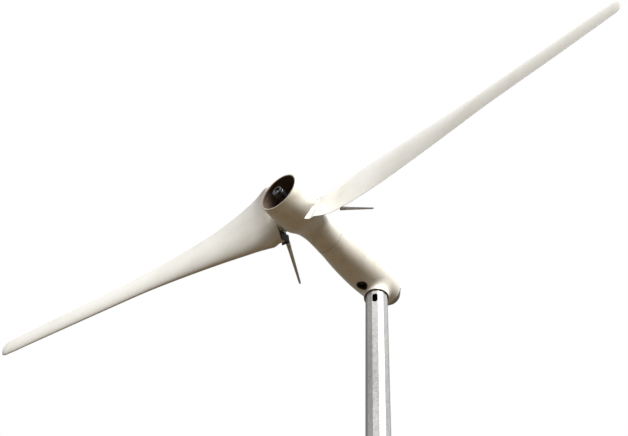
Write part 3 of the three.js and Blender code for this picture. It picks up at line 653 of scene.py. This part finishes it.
# %% Skirt lip
LIP_HEIGHT, RIB = 0.012, 0.004
lip_foot, lip_top, lip_outer = skirt_foot + 0.0005, skirt_foot + LIP_HEIGHT, skirt_radius - NACELLE_WALL - 0.0003
lip_line = [(lip_foot, skirt_bore - 0.002), (lip_foot, lip_outer), (lip_top, lip_outer)]
for rib in range(3):
    height = lip_top - rib * RIB
    lip_line += [(height, skirt_bore - 0.0005), (height - RIB / 2, skirt_bore - 0.0025)]
on_mast = AXIAL @ Matrix.Translation((0, -MOUTH.y, 0)) @ ABOUT_MAST
mount(turned("skirt_lip", rounded(lip_line, 0.0008, 2), on_mast), rubber, "nacelle", "rubber")

# %% [markdown]
# ## The blades
# A blade is a row of wing sections whose chord, twist and thickness change along its length. Each ring of the CAD
# blade is measured for them, and smooth curves through the measures give as many sections as the eye needs. A real
# section is also a little cambered, bulging downwind, and its trailing edge is a few millimetres thick.


# %% Measuring the CAD blade
def measure_blade(number):
    """Rows of (radius, chord, lead, pitch, thickness share) from the CAD blade's rings."""
    to_blade = blade_frame(number).inverted()
    rings = {}
    for vertex in frame["nodes"][f"blade_{number}"].data.vertices:
        point = to_blade @ vertex.co
        rings.setdefault(round(point.y, 3), set()).add((round(point.x, 5), round(point.z, 5)))
    rows = []
    for radius, ring in sorted(rings.items()):
        points = np.array(sorted(ring))
        if len(points) < 8:
            continue
        nose = points[points[:, 0].argmax()]
        gap = np.linalg.norm(points - nose, axis=1)
        tail = points[gap > gap.max() - 0.001].mean(0)
        chord = np.linalg.norm(nose - tail)
        along = (nose - tail) / chord
        off = (points - tail) @ np.array([-along[1], along[0]])
        rows.append((radius, chord, nose @ along, math.atan2(along[1], along[0]), np.ptp(off) / chord))
    return np.array(rows)


blade_rows = measure_blade(1)
print("blade stations:", len(blade_rows), "root chord", round(blade_rows[0][1], 3), "m")

# %% Building a blade
SECTIONS = 130
AROUND = 40  # points from leading to trailing edge, each side
CAMBER, BLUNT = 0.022, 0.0011
CAMBER_FROM, CAMBER_RUN = 0.35, 0.5  # the camber grows over this part of the span


def half_thickness(x):
    """Half thickness of a classic symmetric section, as a share of its full thickness."""
    return 5 * (0.2969 * np.sqrt(x) - 0.126 * x - 0.3516 * x**2 + 0.2843 * x**3 - 0.1015 * x**4)


def make_blade(number):
    """A closed blade with rounded ends and a UV map: U round the section, V along the blade."""
    low, high = blade_rows[0, 0], blade_rows[-1, 0]
    spots = low + (high - low) * (1 - np.cos(np.linspace(0, math.pi, SECTIONS))) / 2
    lines = [np.interp(spots, *smooth_line(blade_rows[:, (0, column)], 600)) for column in range(1, 5)]
    cambers = CAMBER * np.clip((spots - CAMBER_FROM) / CAMBER_RUN, 0, 1)
    sections = [(*row, 1.0) for row in zip(spots, *lines, cambers)]
    inner, outer = sections[0], sections[-1]
    root = [(*inner[:6], 0.9), (inner[0] + 0.0008, *inner[1:6], 0.985)]
    sections = root + sections[2:] + [(*outer[:6], 0.6)]
    share = (1 - np.cos(np.linspace(0, math.pi, AROUND))) / 2
    sides = [(x, 1) for x in share] + [(x, -1) for x in share[::-1][:-1]]
    vertices = []
    for radius, chord, lead, pitch, thick, camber, shrink in sections:
        cos, sin = math.cos(pitch), math.sin(pitch)
        for x, side in sides:
            off = side * max(BLUNT * x, half_thickness(x) * thick * chord) * shrink
            off -= camber * chord * 4 * x * (1 - x)
            along = lead - chord * (0.5 + (x - 0.5) * (0.5 + shrink / 2))
            vertices.append((along * cos - off * sin, radius, along * sin + off * cos))
    count = len(sides)
    faces = bands(len(sections), count)
    for start in (0, (len(sections) - 1) * count):
        for i in range(1, AROUND - 1):
            faces.append((start + i, start + i + 1, start + count - i - 1, start + count - i))
        faces.append((start, start + 1, start + count - 1))
    blade = piece_of(f"blade_skin_{number}", vertices, faces, blade_frame(number), 40)
    across = np.array([i % count / count for i in range(len(vertices))])
    out = np.repeat(np.linspace(0, 1, len(sections)), count)
    corners = np.zeros(len(blade.data.loops), int)
    blade.data.loops.foreach_get("vertex_index", corners)
    uv = blade.data.uv_layers.new(name="span")
    uv.data.foreach_set("uv", np.stack([across[corners], out[corners]], 1).ravel())
    return blade


# %% [markdown]
# ## Dirt and painted shade that follow the blade
# Air carries grime onto the leading edge. The root end, which moves slowly, keeps a brown-green film, and the same
# darkening near the root is partly painted shade. The marks follow the blade and not space, so they read the blade's
# UV map: V is the place along the span.

# %% Blade dirt and painted shade
tree = blade_gelcoat.node_tree
base = tree.nodes["Principled BSDF"].inputs["Base Color"]
place = add(tree, "ShaderNodeTexCoord").outputs
spread = add(tree, "ShaderNodeSeparateXYZ", {"Vector": place["UV"]}).outputs
# The root's brown-green film: partly a real film, partly painted shade near the root.
film_and_shade = span(spread["Y"], 0.0, 0.16, 0.75, 0.0)
film_and_shade = reckon("MULTIPLY", film_and_shade, span(noise(place["Object"], 9.0, 5.0), 0.3, 0.7))
dirt_and_shade = blend(film_and_shade, base.links[0].from_socket, (0.47, 0.44, 0.33, 1))
from_tail = reckon("ABSOLUTE", reckon("SUBTRACT", spread["X"], 0.5))
worn = reckon("MULTIPLY", span(from_tail, 0.44, 0.5), span(noise(place["Object"], 60.0, 4.0), 0.45, 0.6))
colour = blend(reckon("MULTIPLY", worn, 0.55), dirt_and_shade, (0.35, 0.33, 0.30, 1))
tree.links.new(colour, base)
for number in (1, 2):
    mount(make_blade(number), blade_gelcoat, f"blade_{number}", "gelcoat", f"blade_{number}")

# %% [markdown]
# ## Flyweight arms
# Each blade root carries a slim forged arm that points back along the nacelle. It tapers and is oval in section.
# A row of ovals between the two ends of the CAD arm gives the shape.

# %% Arm
BRACKET_PITCH, ARM_ROLL = 20.8, 45.0  # degrees
ARM_WIDE, ARM_THICK = (0.030, 0.013), (0.010, 0.006)  # at the foot and at the tip
ARM_SIDES = 28
ARM_STOPS = [(0, 0.55), (0.004, 0.86), (0.012, 1), (0.06, 1.0), (0.13, 1.0), (0.2, 0.93), (0.4, 0.95), (0.6, 0.97),
             (0.8, 0.98), (0.93, 1), (0.975, 0.9), (0.992, 0.62), (1, 0.25)]  # share of length, share of width


def root_frame(number):
    """The blade's frame turned to the pitch of the arm's bracket."""
    return blade_frame(number) @ Matrix.Rotation(-math.radians(BRACKET_PITCH), 4, "Y")


def extent(node, place):
    """Lowest and highest corner of a CAD node's vertices in a frame, and the vertices."""
    into = np.array(place.inverted())
    points = np.array([vertex.co[:] for vertex in frame["nodes"][node].data.vertices])
    points = points @ into[:3, :3].T + into[:3, 3]
    return points.min(0), points.max(0), points


def arm_axes(number):
    """The arm's foot and tip, and the directions across its width and out of its broad face."""
    points = extent(f"flyweight_arm_{number}", root_frame(number))[2]
    order = np.argsort(points @ (points[points[:, 0].argmax()] - points[points[:, 0].argmin()]))
    foot, tip = Vector(points[order[:10]].mean(0)), Vector(points[order[-10:]].mean(0))
    along = (tip - foot).normalized()
    face = (Vector((0, 0, 1)) - along * along.z).normalized()
    face.rotate(Matrix.Rotation(-math.radians(ARM_ROLL), 3, along))
    return foot, tip, along.cross(face), face


def make_arm(number):
    """The tapering arm between the two ends of the CAD arm."""
    foot, tip, across, face = arm_axes(number)
    vertices = []
    for share, shrink in ARM_STOPS:
        wide = (ARM_WIDE[0] + (ARM_WIDE[1] - ARM_WIDE[0]) * share) / 2 * shrink
        thick = (ARM_THICK[0] + (ARM_THICK[1] - ARM_THICK[0]) * share) / 2 * min(1, shrink + 0.1)
        for step in range(ARM_SIDES):
            angle = step * 2 * math.pi / ARM_SIDES
            cos, sin = math.cos(angle), math.sin(angle)
            flat = abs(sin) ** 0.6 * math.copysign(1, sin)  # flatter faces than an ellipse
            vertices.append(foot.lerp(tip, share) + across * wide * cos + face * thick * flat)
    faces = bands(len(ARM_STOPS), ARM_SIDES, ends=True)
    return piece_of(f"arm_{number}", vertices, faces, root_frame(number), 50)


for number in (1, 2):
    mount(make_arm(number), arm_steel, f"blade_{number}", "bright_steel", f"flyweight_arm_{number}")

# %% [markdown]
# ## Castings, brackets and plates
# These CAD pieces only lack the small radii that every cast, forged or cut part has. A copy is merged into one
# surface, its flat areas are joined into single faces, and its edges are rounded.


# %% Rounded copies of CAD pieces
def rounded_copy(node, name, width, finish, body, slot):
    """A welded copy of a CAD node with rounded edges."""
    copied = bmesh.new()
    copied.from_mesh(frame["nodes"][node].data)
    bmesh.ops.remove_doubles(copied, verts=copied.verts, dist=0.00002)
    bmesh.ops.dissolve_limit(copied, angle_limit=math.radians(2), verts=copied.verts, edges=copied.edges)
    mesh = bpy.data.meshes.new(name)
    copied.to_mesh(mesh)
    copied.free()
    mount(round_edges(shade(put(name, mesh), 28), width), finish, body, slot, node)


for number in (1, 2):
    body = f"blade_{number}"
    rounded_copy(f"root_plate_{number}", f"root_bracket_{number}", 0.0012, dark_steel, body, "dark_steel")
    rounded_copy(f"pitch_crank_{number}", f"crank_{number}", 0.0008, dark_steel, body, "dark_steel")
rounded_copy("hub_yoke", "yoke_casting", 0.0012, cast_iron, "rotor", "cast_iron")
rounded_copy("pitch_crosshead", "crosshead", 0.0008, aluminium, "crosshead", "aluminium")
rounded_copy("nacelle_frame", "frame_casting", 0.0012, cast_iron, "nacelle", "cast_iron")
rounded_copy("mast_top_plate", "top_plate", 0.0008, galvanised_steel, "root", "galvanised")

# %% [markdown]
# ## The parts in the hub's mouth
# From below, the pitch spring's cap shows in the mouth as a bright ring. It is a turned steel cup with a recess
# for a socket. Behind it are the guide rod, the helical spring and the crosshead.


# %% Spring cap and guide rod
def round_size(node):
    """The front and rear of a round CAD node, behind the mouth, and its radius."""
    low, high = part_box(node)
    return low.y - MOUTH.y, high.y - MOUTH.y, (high.z - low.z) / 2


WIRE = 0.003
front, rear, cap_outer = round_size("spring_cap")
rod_front, rod_rear, rod_radius = round_size("guide_rod")
spring_front, spring_rear, spring_radius = round_size("pitch_spring")
coil_radius = spring_radius - WIRE
rod_hole, socket, pocket = rod_radius + 0.0003, 0.022, coil_radius + WIRE + 0.002
cap_outline = [
    (front + 0.012, rod_hole), (front + 0.012, socket), (front, socket), (front, cap_outer),
    (front + 0.014, cap_outer), (front + 0.0155, cap_outer - 0.0015), (front + 0.017, cap_outer),
    (front + 0.038, cap_outer), (front + 0.044, pocket + 0.004), (rear, pocket + 0.004), (rear, pocket),
    (rear - 0.01, pocket), (rear - 0.01, rod_hole),
]
mount(turned("spring_cap_turned", rounded(cap_outline, 0.0016)), cap_steel, "rotor", "bright_steel", "spring_cap")
guide = turned("guide_rod_turned", rounded(bar(0, rod_radius, rod_front, rod_rear), 0.0015), sides=48)
mount(guide, machined_steel, "rotor", "bright_steel", "guide_rod")

# %% Spindles
FLANGE = 0.010
for number in (1, 2):
    low, high, points = extent(f"pitch_spindle_{number}", blade_frame(number))
    flange = (high[0] - low[0]) / 2
    journal = np.hypot(points[:, 0], points[:, 2])[points[:, 1] < low[1] + 0.001].max()
    outline = [(low[1], 0), (low[1], journal)] + bar(journal, flange, high[1] - FLANGE, high[1])[:3] + [(high[1], 0)]
    spindle = turned(f"spindle_{number}", rounded(outline, 0.0015), blade_frame(number))
    mount(spindle, machined_steel, f"blade_{number}", "bright_steel", f"pitch_spindle_{number}")

# %% Coil spring
TURNS, PER_TURN, WIRE_SIDES = 5, 36, 10
steps = TURNS * PER_TURN
coil_points = []
for step in range(steps + 1):
    angle = step * 2 * math.pi / PER_TURN
    outwards = Vector((math.cos(angle), 0, math.sin(angle)))
    middle = outwards * coil_radius
    middle.y = spring_front + WIRE + (spring_rear - spring_front - 2 * WIRE) * step / steps
    for side in range(WIRE_SIDES):
        turn = side * 2 * math.pi / WIRE_SIDES
        coil_points.append(middle + outwards * WIRE * math.cos(turn) + BACK * WIRE * math.sin(turn))
coil = piece_of("coil_spring", coil_points, bands(steps + 1, WIRE_SIDES, ends=True), AXIAL, 60)
mount(coil, machined_steel, "rotor", "bright_steel", "pitch_spring")

# %% [markdown]
# ## The mast
# A tapered tube with twelve flats, folded from plate and closed by one long weld. The shape follows a rule, so
# Geometry Nodes make it: a cone primitive gives the flats from four sizes. Solidify then gives the wall, and a
# Bevel the soft fold lines. The oval hand hole near the top is for reaching the cable.


# %% A small kit for Geometry Nodes
def new_tree(name, **sockets):
    """A geometry tree with named inputs, its input node and its output node."""
    tree = bpy.data.node_groups.new(name, "GeometryNodeTree")
    for socket, kind in {"Geometry": "Geometry", **sockets, "Finish": "Material"}.items():
        tree.interface.new_socket(socket, in_out="INPUT", socket_type=f"NodeSocket{kind}")
    tree.interface.new_socket("Geometry", in_out="OUTPUT", socket_type="NodeSocketGeometry")
    return tree, tree.nodes.new("NodeGroupInput").outputs, tree.nodes.new("NodeGroupOutput")


def close_tree(tree, end, geometry, material):
    """Realize Instances and Set Material, then out."""
    real = add(tree, "GeometryNodeRealizeInstances", {"Geometry": geometry}).outputs[0]
    done = add(tree, "GeometryNodeSetMaterial", {"Geometry": real, "Material": material}).outputs[0]
    tree.links.new(done, end.inputs[0])


def run_tree(name, tree, mesh, **values):
    """Runs the tree on a mesh with these input values and keeps the result as a plain mesh."""
    piece = put(name, mesh)
    step = piece.modifiers.new("nodes", "NODES")
    step.node_group = tree
    for item in tree.interface.items_tree:
        if item.in_out == "INPUT" and item.name in values:
            step[item.identifier] = values[item.name]
    return use_up(piece)


# %% Mast tube
MAST_SIDES, MAST_WALL = 12, 0.005
mast_low, mast_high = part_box("mast_tube")
half_turn = math.pi / MAST_SIDES
mast_points = np.array([vertex.co[:] for vertex in frame["nodes"]["mast_tube"].data.vertices])
reach = np.hypot(mast_points[:, 0], mast_points[:, 1])
foot_radius = reach[mast_points[:, 2] < mast_low.z + 0.001].max()
top_radius = reach[mast_points[:, 2] > mast_high.z - 0.001].max()

tree, given, end = new_tree("folded mast", Sides="Int", Foot="Float", Top="Float", Height="Float")
inputs = {"Vertices": given["Sides"], "Radius Bottom": given["Foot"], "Radius Top": given["Top"]}
cone = add(tree, "GeometryNodeMeshCone", {**inputs, "Depth": given["Height"]}, fill_type="NONE")
inputs = {"Geometry": cone.outputs[0], "Translation": (0, 0, mast_low.z), "Rotation": (0, 0, half_turn)}
close_tree(tree, end, add(tree, "GeometryNodeTransform", inputs).outputs[0], given["Finish"])
mast = run_tree(
    "mast_folded", tree, bpy.data.meshes.new("start"), Sides=MAST_SIDES, Foot=foot_radius, Top=top_radius,
    Height=mast_high.z - mast_low.z, Finish=galvanised_steel,
)
give_wall(turn_out(mast), MAST_WALL)


# %% Hand hole
def slab(name, outline, low, high, place):
    """A flat outline in X and Z, given a thickness along Y."""
    points = [(x, y, z) for y in (low, high) for x, z in outline]
    return piece_of(name, points, bands(2, len(outline), ends=True), place)


HOLE_WIDE, HOLE_TALL, HOLE_DROP, HOLE_FACING, HOLE_SIDES = 0.034, 0.076, 0.22, -60.0, 48
oval = []
for step in range(HOLE_SIDES):
    angle = step * 2 * math.pi / HOLE_SIDES
    rise = math.copysign((HOLE_TALL - HOLE_WIDE) / 2, 1 if math.sin(angle) >= 0 else -1)
    oval.append((HOLE_WIDE / 2 * math.cos(angle), HOLE_WIDE / 2 * math.sin(angle) + rise))
facing = Matrix.Rotation(math.radians(HOLE_FACING + 90), 4, "Z")
cut(mast, slab("hole", oval, -0.12, -0.03, Matrix.Translation((0, 0, MOUTH.z - HOLE_DROP)) @ facing))
round_edges(mast, 0.0016, 3, 24)
mount(mast, galvanised_steel, "root", "galvanised", "mast_tube")

# %% [markdown]
# ## The base flange
# A thick ring with four gussets, bolted down with eight anchor bolts. The ring is turned, each gusset is a plate
# with a sloping edge, and a weld runs round the mast's foot.

# %% Base flange
FLANGE_THICK, FLANGE_BORE = 0.020, 0.060
GUSSET_THICK, GUSSET_REACH, GUSSET_LIP, GUSSET_TOP = 0.008, 0.062, 0.008, 0.008
flange_low, flange_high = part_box("base_flange")
flange_radius = max(-flange_low.x, -flange_low.y, flange_high.x, flange_high.y)
flange_ring = rounded(bar(FLANGE_BORE, flange_radius, 0.0, FLANGE_THICK), 0.002)
gusset_foot = foot_radius * math.cos(half_turn) + 0.0003
sunk = FLANGE_THICK - 0.0005
wedge = [(gusset_foot, sunk), (gusset_foot + GUSSET_REACH, sunk),
         (gusset_foot + GUSSET_REACH, FLANGE_THICK + GUSSET_LIP),
         (gusset_foot + GUSSET_TOP, flange_high.z), (gusset_foot, flange_high.z)]
flange = turned("flange_ring", flange_ring, ABOUT_MAST, 128)
for step in range(4):
    spot = Matrix.Rotation(step * math.pi / 2, 4, "Z")
    gusset = slab(f"gusset_{step + 1}", wedge, -GUSSET_THICK / 2, GUSSET_THICK / 2, spot)
    mount(round_edges(gusset, 0.0012), galvanised_steel, "root", "galvanised")
mount(flange, galvanised_steel, "root", "galvanised", "base_flange")

# %% [markdown]
# ## Bolts and screws
# Fasteners repeat, so one Geometry Nodes tree makes them all: a washer and a head from primitives, placed on every
# point of a mesh and turned to the direction stored there. A seed gives each head its own turn of the spanner.

# %% The fastener tree
tree, given, end = new_tree(
    "fasteners", Sides="Int", Head="Float", Height="Float", Washer="Float", Under="Float", Seed="Int"
)
fastener_tree = tree


def lifted(kind, inputs, height):
    """A mesh primitive moved up by a height."""
    shape = add(tree, kind, inputs).outputs[0]
    rise = add(tree, "ShaderNodeCombineXYZ", {"Z": height}).outputs[0]
    return add(tree, "GeometryNodeTransform", {"Geometry": shape, "Translation": rise}).outputs[0]


under = given["Under"]
body_height = reckon("MULTIPLY", given["Height"], 0.75)
washer = {"Vertices": 28, "Radius": given["Washer"], "Depth": under}
head = {"Vertices": given["Sides"], "Radius": given["Head"], "Depth": body_height}
crown = {"Vertices": given["Sides"], "Radius Bottom": given["Head"]}
crown["Radius Top"] = reckon("MULTIPLY", given["Head"], 0.8)
crown["Depth"] = reckon("MULTIPLY", given["Height"], 0.25)
shapes = [
    lifted("GeometryNodeMeshCylinder", washer, reckon("MULTIPLY", under, 0.5)),
    lifted("GeometryNodeMeshCylinder", head, reckon("MULTIPLY_ADD", body_height, 0.5, under)),
    lifted("GeometryNodeMeshCone", crown, reckon("ADD", body_height, under)),
]
joined = add(tree, "GeometryNodeJoinGeometry")
for shape in shapes:
    tree.links.new(shape, joined.inputs[0])
facing = add(tree, "GeometryNodeInputNamedAttribute", {"Name": "facing"}, data_type="FLOAT_VECTOR").outputs[0]
towards = add(tree, "FunctionNodeAlignRotationToVector", {"Vector": facing}, axis="Z").outputs[0]
inputs = {2: 0.0, 3: math.pi, "Seed": given["Seed"]}
chance = add(tree, "FunctionNodeRandomValue", inputs, data_type="FLOAT").outputs[1]
spin = add(tree, "FunctionNodeAxisAngleToRotation", {"Axis": (0, 0, 1), "Angle": chance}).outputs[0]
inputs = {"Rotation": towards, "Rotate By": spin}
turn = add(tree, "FunctionNodeRotateRotation", inputs, rotation_space="LOCAL").outputs[0]
inputs = {"Points": given["Geometry"], "Instance": joined.outputs[0], "Rotation": turn}
close_tree(tree, end, add(tree, "GeometryNodeInstanceOnPoints", inputs).outputs[0], given["Finish"])


# %% Using the fastener tree
def fasteners(name, spots, body, slot, finish, sides, head, height, washer, under, seed):
    """Bolts on a list of (point, direction) in world space. Sizes are in millimetres."""
    mesh = bpy.data.meshes.new(name)
    mesh.from_pydata([tuple(point) for point, _ in spots], [], [])
    stored = mesh.attributes.new("facing", "FLOAT_VECTOR", "POINT")
    stored.data.foreach_set("vector", np.array([tuple(way) for _, way in spots], float).ravel())
    made = run_tree(
        name, fastener_tree, mesh, Sides=sides, Head=head * MM, Height=height * MM, Washer=washer * MM,
        Under=under * MM, Seed=seed, Finish=finish,
    )
    mount(made, finish, body, slot)


def on_circle(place, radius, along, count, way, start=0.0):
    """Spots round the frame's Y axis, facing along it."""
    spots = []
    for step in range(count):
        angle = start + step * 2 * math.pi / count
        spot = place @ Vector((radius * math.sin(angle), along, radius * math.cos(angle)))
        spots.append((spot, place.to_3x3() @ Vector((0, way, 0))))
    return spots


def on_shell(line, along, start, lean):
    """Six spots round a turned shape, facing outwards and leaning back."""
    spots = []
    for step in range(6):
        angle = (step + start) * math.pi / 3
        around = Vector((math.sin(angle), 0, math.cos(angle)))
        spot = MOUTH + around * np.interp(along, *line) + BACK * along
        spots.append((spot, (around + BACK * lean).normalized()))
    return spots


# %% Anchor bolts with their studs
ANCHOR_CIRCLE, STUD_RISE = 0.125, 0.015
anchor = on_circle(ABOUT_MAST, ANCHOR_CIRCLE, FLANGE_THICK, 8, 1, math.pi / 8)
studs = [(point + Vector((0, 0, STUD_RISE)), way) for point, way in anchor]
fasteners("anchor_bolts", anchor, "root", "bright_steel", bolt_steel, 6, 14, 14, 18, 3, 1)
fasteners("anchor_studs", studs, "root", "bright_steel", bolt_steel, 20, 7.5, 16, 7.4, 1, 2)

# %% Lid, tail and neck screws, painted over with their shells
LID_SCREW_IN, LID_SCREW_UP = 0.03, 0.014  # from the lid's ends and from its lower edge
TAIL_SCREWS, NECK_SCREWS = cap_front + 0.009, 0.327  # behind the mouth
lid_spots = []
for side in (-1, 1):
    for along in np.linspace(lid_low.y + LID_SCREW_IN, lid_high.y - LID_SCREW_IN, 6) - MOUTH.y:
        radius = np.interp(along, nacelle_along, nacelle_radius)
        height = lid_low.z - MOUTH.z + LID_SCREW_UP
        spot = Vector((side * math.sqrt(radius**2 - height**2), along, height))
        lid_spots.append((MOUTH + spot, Vector((spot.x, 0, spot.z)).normalized()))
tail_spots = on_shell((cap_along, cap_radius), TAIL_SCREWS, 0.5, 0.45)
neck_spots = on_shell((hub_along, hub_radius), NECK_SCREWS, 0.25, 0.15)
fasteners("lid_screws", lid_spots, "nacelle", "gelcoat", nacelle_gelcoat, 20, 4.6, 2.4, 6.5, 0.8, 3)
# The tail screws take the tail cap's grey, which is painted shade.
fasteners("tail_screws", tail_spots, "nacelle", "cap_grey", tail_grey_painted_shade, 20, 4.2, 2.2, 6, 0.8, 4)
fasteners("neck_screws", neck_spots, "rotor", "gelcoat", nacelle_gelcoat, 20, 4.2, 1.8, 5.6, 0.6, 5)

# %% Root bolts, in the spindle's flange and through the arm's foot
ROOT_CIRCLE, ARM_FACE = 0.031, 0.0044
for number in (1, 2):
    place, lug = blade_frame(number), root_frame(number)
    top = extent(f"pitch_spindle_{number}", place)[1][1]
    spots = on_circle(place, ROOT_CIRCLE, top - FLANGE, 6, -1, 0.4)
    foot, tip, across, face = arm_axes(number)
    for along, side in ((0.012, 1), (0.012, -1), (0.034, 1), (0.034, -1)):
        spot = foot + (tip - foot).normalized() * along + face * side * ARM_FACE
        spots.append((lug @ spot, lug.to_3x3() @ (face * side)))
    fasteners(f"root_bolts_{number}", spots, f"blade_{number}", "bright_steel", bolt_steel, 6, 5.2, 5, 7.5, 1.2, 6)

# %% [markdown]
# ## Welds
# A weld is a low bead with ripples. A second tree sweeps a small circle along a path and lets its radius rise and
# fall with the distance run.

# %% Weld beads
RIPPLES, RIPPLE_DEPTH = 1100.0, 0.12
tree, given, end = new_tree("weld bead", Bead="Float", Step="Float")
bead_tree = tree
path = add(tree, "GeometryNodeMeshToCurve", {"Mesh": given["Geometry"]}).outputs[0]
spaced = add(tree, "GeometryNodeResampleCurve", {"Curve": path, "Length": given["Step"]}, mode="LENGTH").outputs[0]
run = add(tree, "GeometryNodeSplineParameter").outputs["Length"]
radius = reckon("MULTIPLY_ADD", reckon("SINE", reckon("MULTIPLY", run, RIPPLES)), RIPPLE_DEPTH, 1.0)
ring = add(tree, "GeometryNodeCurvePrimitiveCircle", {"Resolution": 8, "Radius": given["Bead"]}).outputs[0]
inputs = {"Curve": spaced, "Profile Curve": ring, "Scale": radius, "Fill Caps": True}
close_tree(tree, end, add(tree, "GeometryNodeCurveToMesh", inputs).outputs[0], given["Finish"])


def weld(name, spots, closed, bead):
    """A weld bead along a line of points."""
    edges = [(i, i + 1) for i in range(len(spots) - 1)] + ([(len(spots) - 1, 0)] if closed else [])
    mesh = bpy.data.meshes.new(name)
    mesh.from_pydata(spots, edges, [])
    made = run_tree(name, bead_tree, mesh, Bead=bead * MM, Step=bead * MM * 1.1, Finish=galvanised_steel)
    made.data.shade_smooth()
    mount(made, galvanised_steel, "root", "galvanised")


def round_mast(radius, angle, height):
    """A point at a radius and an angle from the mast's axis."""
    return radius * math.cos(angle), radius * math.sin(angle), height


folds = [half_turn * (2 * step + 1) for step in range(MAST_SIDES)]
weld("foot_weld", [round_mast(foot_radius, fold, FLANGE_THICK + 0.001) for fold in folds], True, 3.5)
seam = [round_mast(foot_radius - 0.0008, folds[4], mast_low.z + 0.004),
        round_mast(top_radius - 0.0008, folds[4], mast_high.z - 0.002)]
weld("mast_seam", seam, False, 1.6)

# %% [markdown]
# ## Stage, light and camera
# The key light is soft and comes from high on the right, as from a large window. The world adds a dim warm fill
# from below and a cool one from above, and shows white to the camera. The floor only shows from above, so that a
# camera under the rotor can look up through it.

# %% Floor
FLOOR = 40
corners = [(-FLOOR, -FLOOR, -0.002), (FLOOR, -FLOOR, -0.002), (FLOOR, FLOOR, -0.002), (-FLOOR, FLOOR, -0.002)]
floor = piece_of("floor", corners, [(0, 1, 2, 3)])
if floor.data.polygons[0].normal.z < 0:
    floor.data.flip_normals()
material, shader, place = begin("pale floor")
tree = material.node_tree
colour = blend(noise(place, 0.8, 3.0), (0.72, 0.72, 0.71, 1), (0.75, 0.75, 0.74, 1))
paint(shader, colour, span(noise(place, 3.0), 0.3, 0.7, 0.7, 0.8))
below = add(tree, "ShaderNodeNewGeometry").outputs["Backfacing"]
clear = add(tree, "ShaderNodeBsdfTransparent").outputs[0]
mixed = add(tree, "ShaderNodeMixShader", {0: below, 1: shader.outputs[0], 2: clear}).outputs[0]
tree.links.new(mixed, tree.nodes["Material Output"].inputs["Surface"])
floor.data.materials.append(material)
floor.visible_diffuse = floor.visible_glossy = floor.visible_shadow = floor.visible_transmission = False

# %% World
world = bpy.data.worlds.new("studio")
bpy.context.scene.world = world
world.use_nodes = True
tree = world.node_tree
tree.nodes.clear()
direction = add(tree, "ShaderNodeTexCoord").outputs["Generated"]
height = add(tree, "ShaderNodeSeparateXYZ", {"Vector": direction}).outputs["Z"]
lower = blend(span(height, -1.0, 0.0), (0.165, 0.104, 0.042, 1), (0.20, 0.18, 0.15, 1))
around = blend(span(height, 0.0, 0.8), lower, (0.50, 0.52, 0.56, 1))
soft = add(tree, "ShaderNodeBackground", {"Color": around, "Strength": 1.0}).outputs[0]
white = add(tree, "ShaderNodeBackground", {"Color": (1, 1, 1, 1), "Strength": 1.0}).outputs[0]
seen = add(tree, "ShaderNodeLightPath").outputs["Is Camera Ray"]
mixed = add(tree, "ShaderNodeMixShader", {0: seen, 1: soft, 2: white}).outputs[0]
add(tree, "ShaderNodeOutputWorld", {"Surface": mixed})
bpy.context.scene.view_settings.view_transform = "Standard"

# %% Key light
KEY_WAY, KEY_DISTANCE, KEY_SIZE, KEY_POWER = (0.76, -0.37, 0.52), 45.0, 26.0, 44500
data = bpy.data.lights.new("key", "AREA")
data.size, data.energy, data.color = KEY_SIZE, KEY_POWER, (1.0, 0.985, 0.95)
lamp = put("key", data)
way = Vector(KEY_WAY).normalized()
lamp.location = MOUTH + way * KEY_DISTANCE
lamp.rotation_mode = "QUATERNION"
lamp.rotation_quaternion = way.to_track_quat("Z", "Y")
lamp.visible_camera = False

# %% [markdown]
# ## Camera
# The camera stands well below the rotor, to its right, and looks up, with a slight roll. A long lens keeps the
# blades' lines nearly parallel.

# %% Camera
AZIMUTH, ELEVATION, ROLL = 41.55, -51.25, 1.35  # degrees
DISTANCE, CLIP_END = 12.613, 200.0
LENS, SENSOR = 119.7, 36.0  # millimetres
aim = Vector((0.086, -0.6985, 2.905))
turn, rise = math.radians(AZIMUTH), math.radians(ELEVATION)
towards = Vector((math.sin(turn) * math.cos(rise), -math.cos(turn) * math.cos(rise), math.sin(rise)))
level = Vector((math.cos(turn), math.sin(turn), 0))
axes = Matrix((level, towards.cross(level), towards)).transposed() @ Matrix.Rotation(math.radians(ROLL), 3, "Z")
data = bpy.data.cameras.new("camera")
data.sensor_width, data.lens, data.clip_end = SENSOR, LENS, CLIP_END
camera = put("camera", data)
camera.matrix_world = Matrix.Translation(aim + towards * DISTANCE) @ axes.to_4x4()
bpy.context.scene.camera = camera
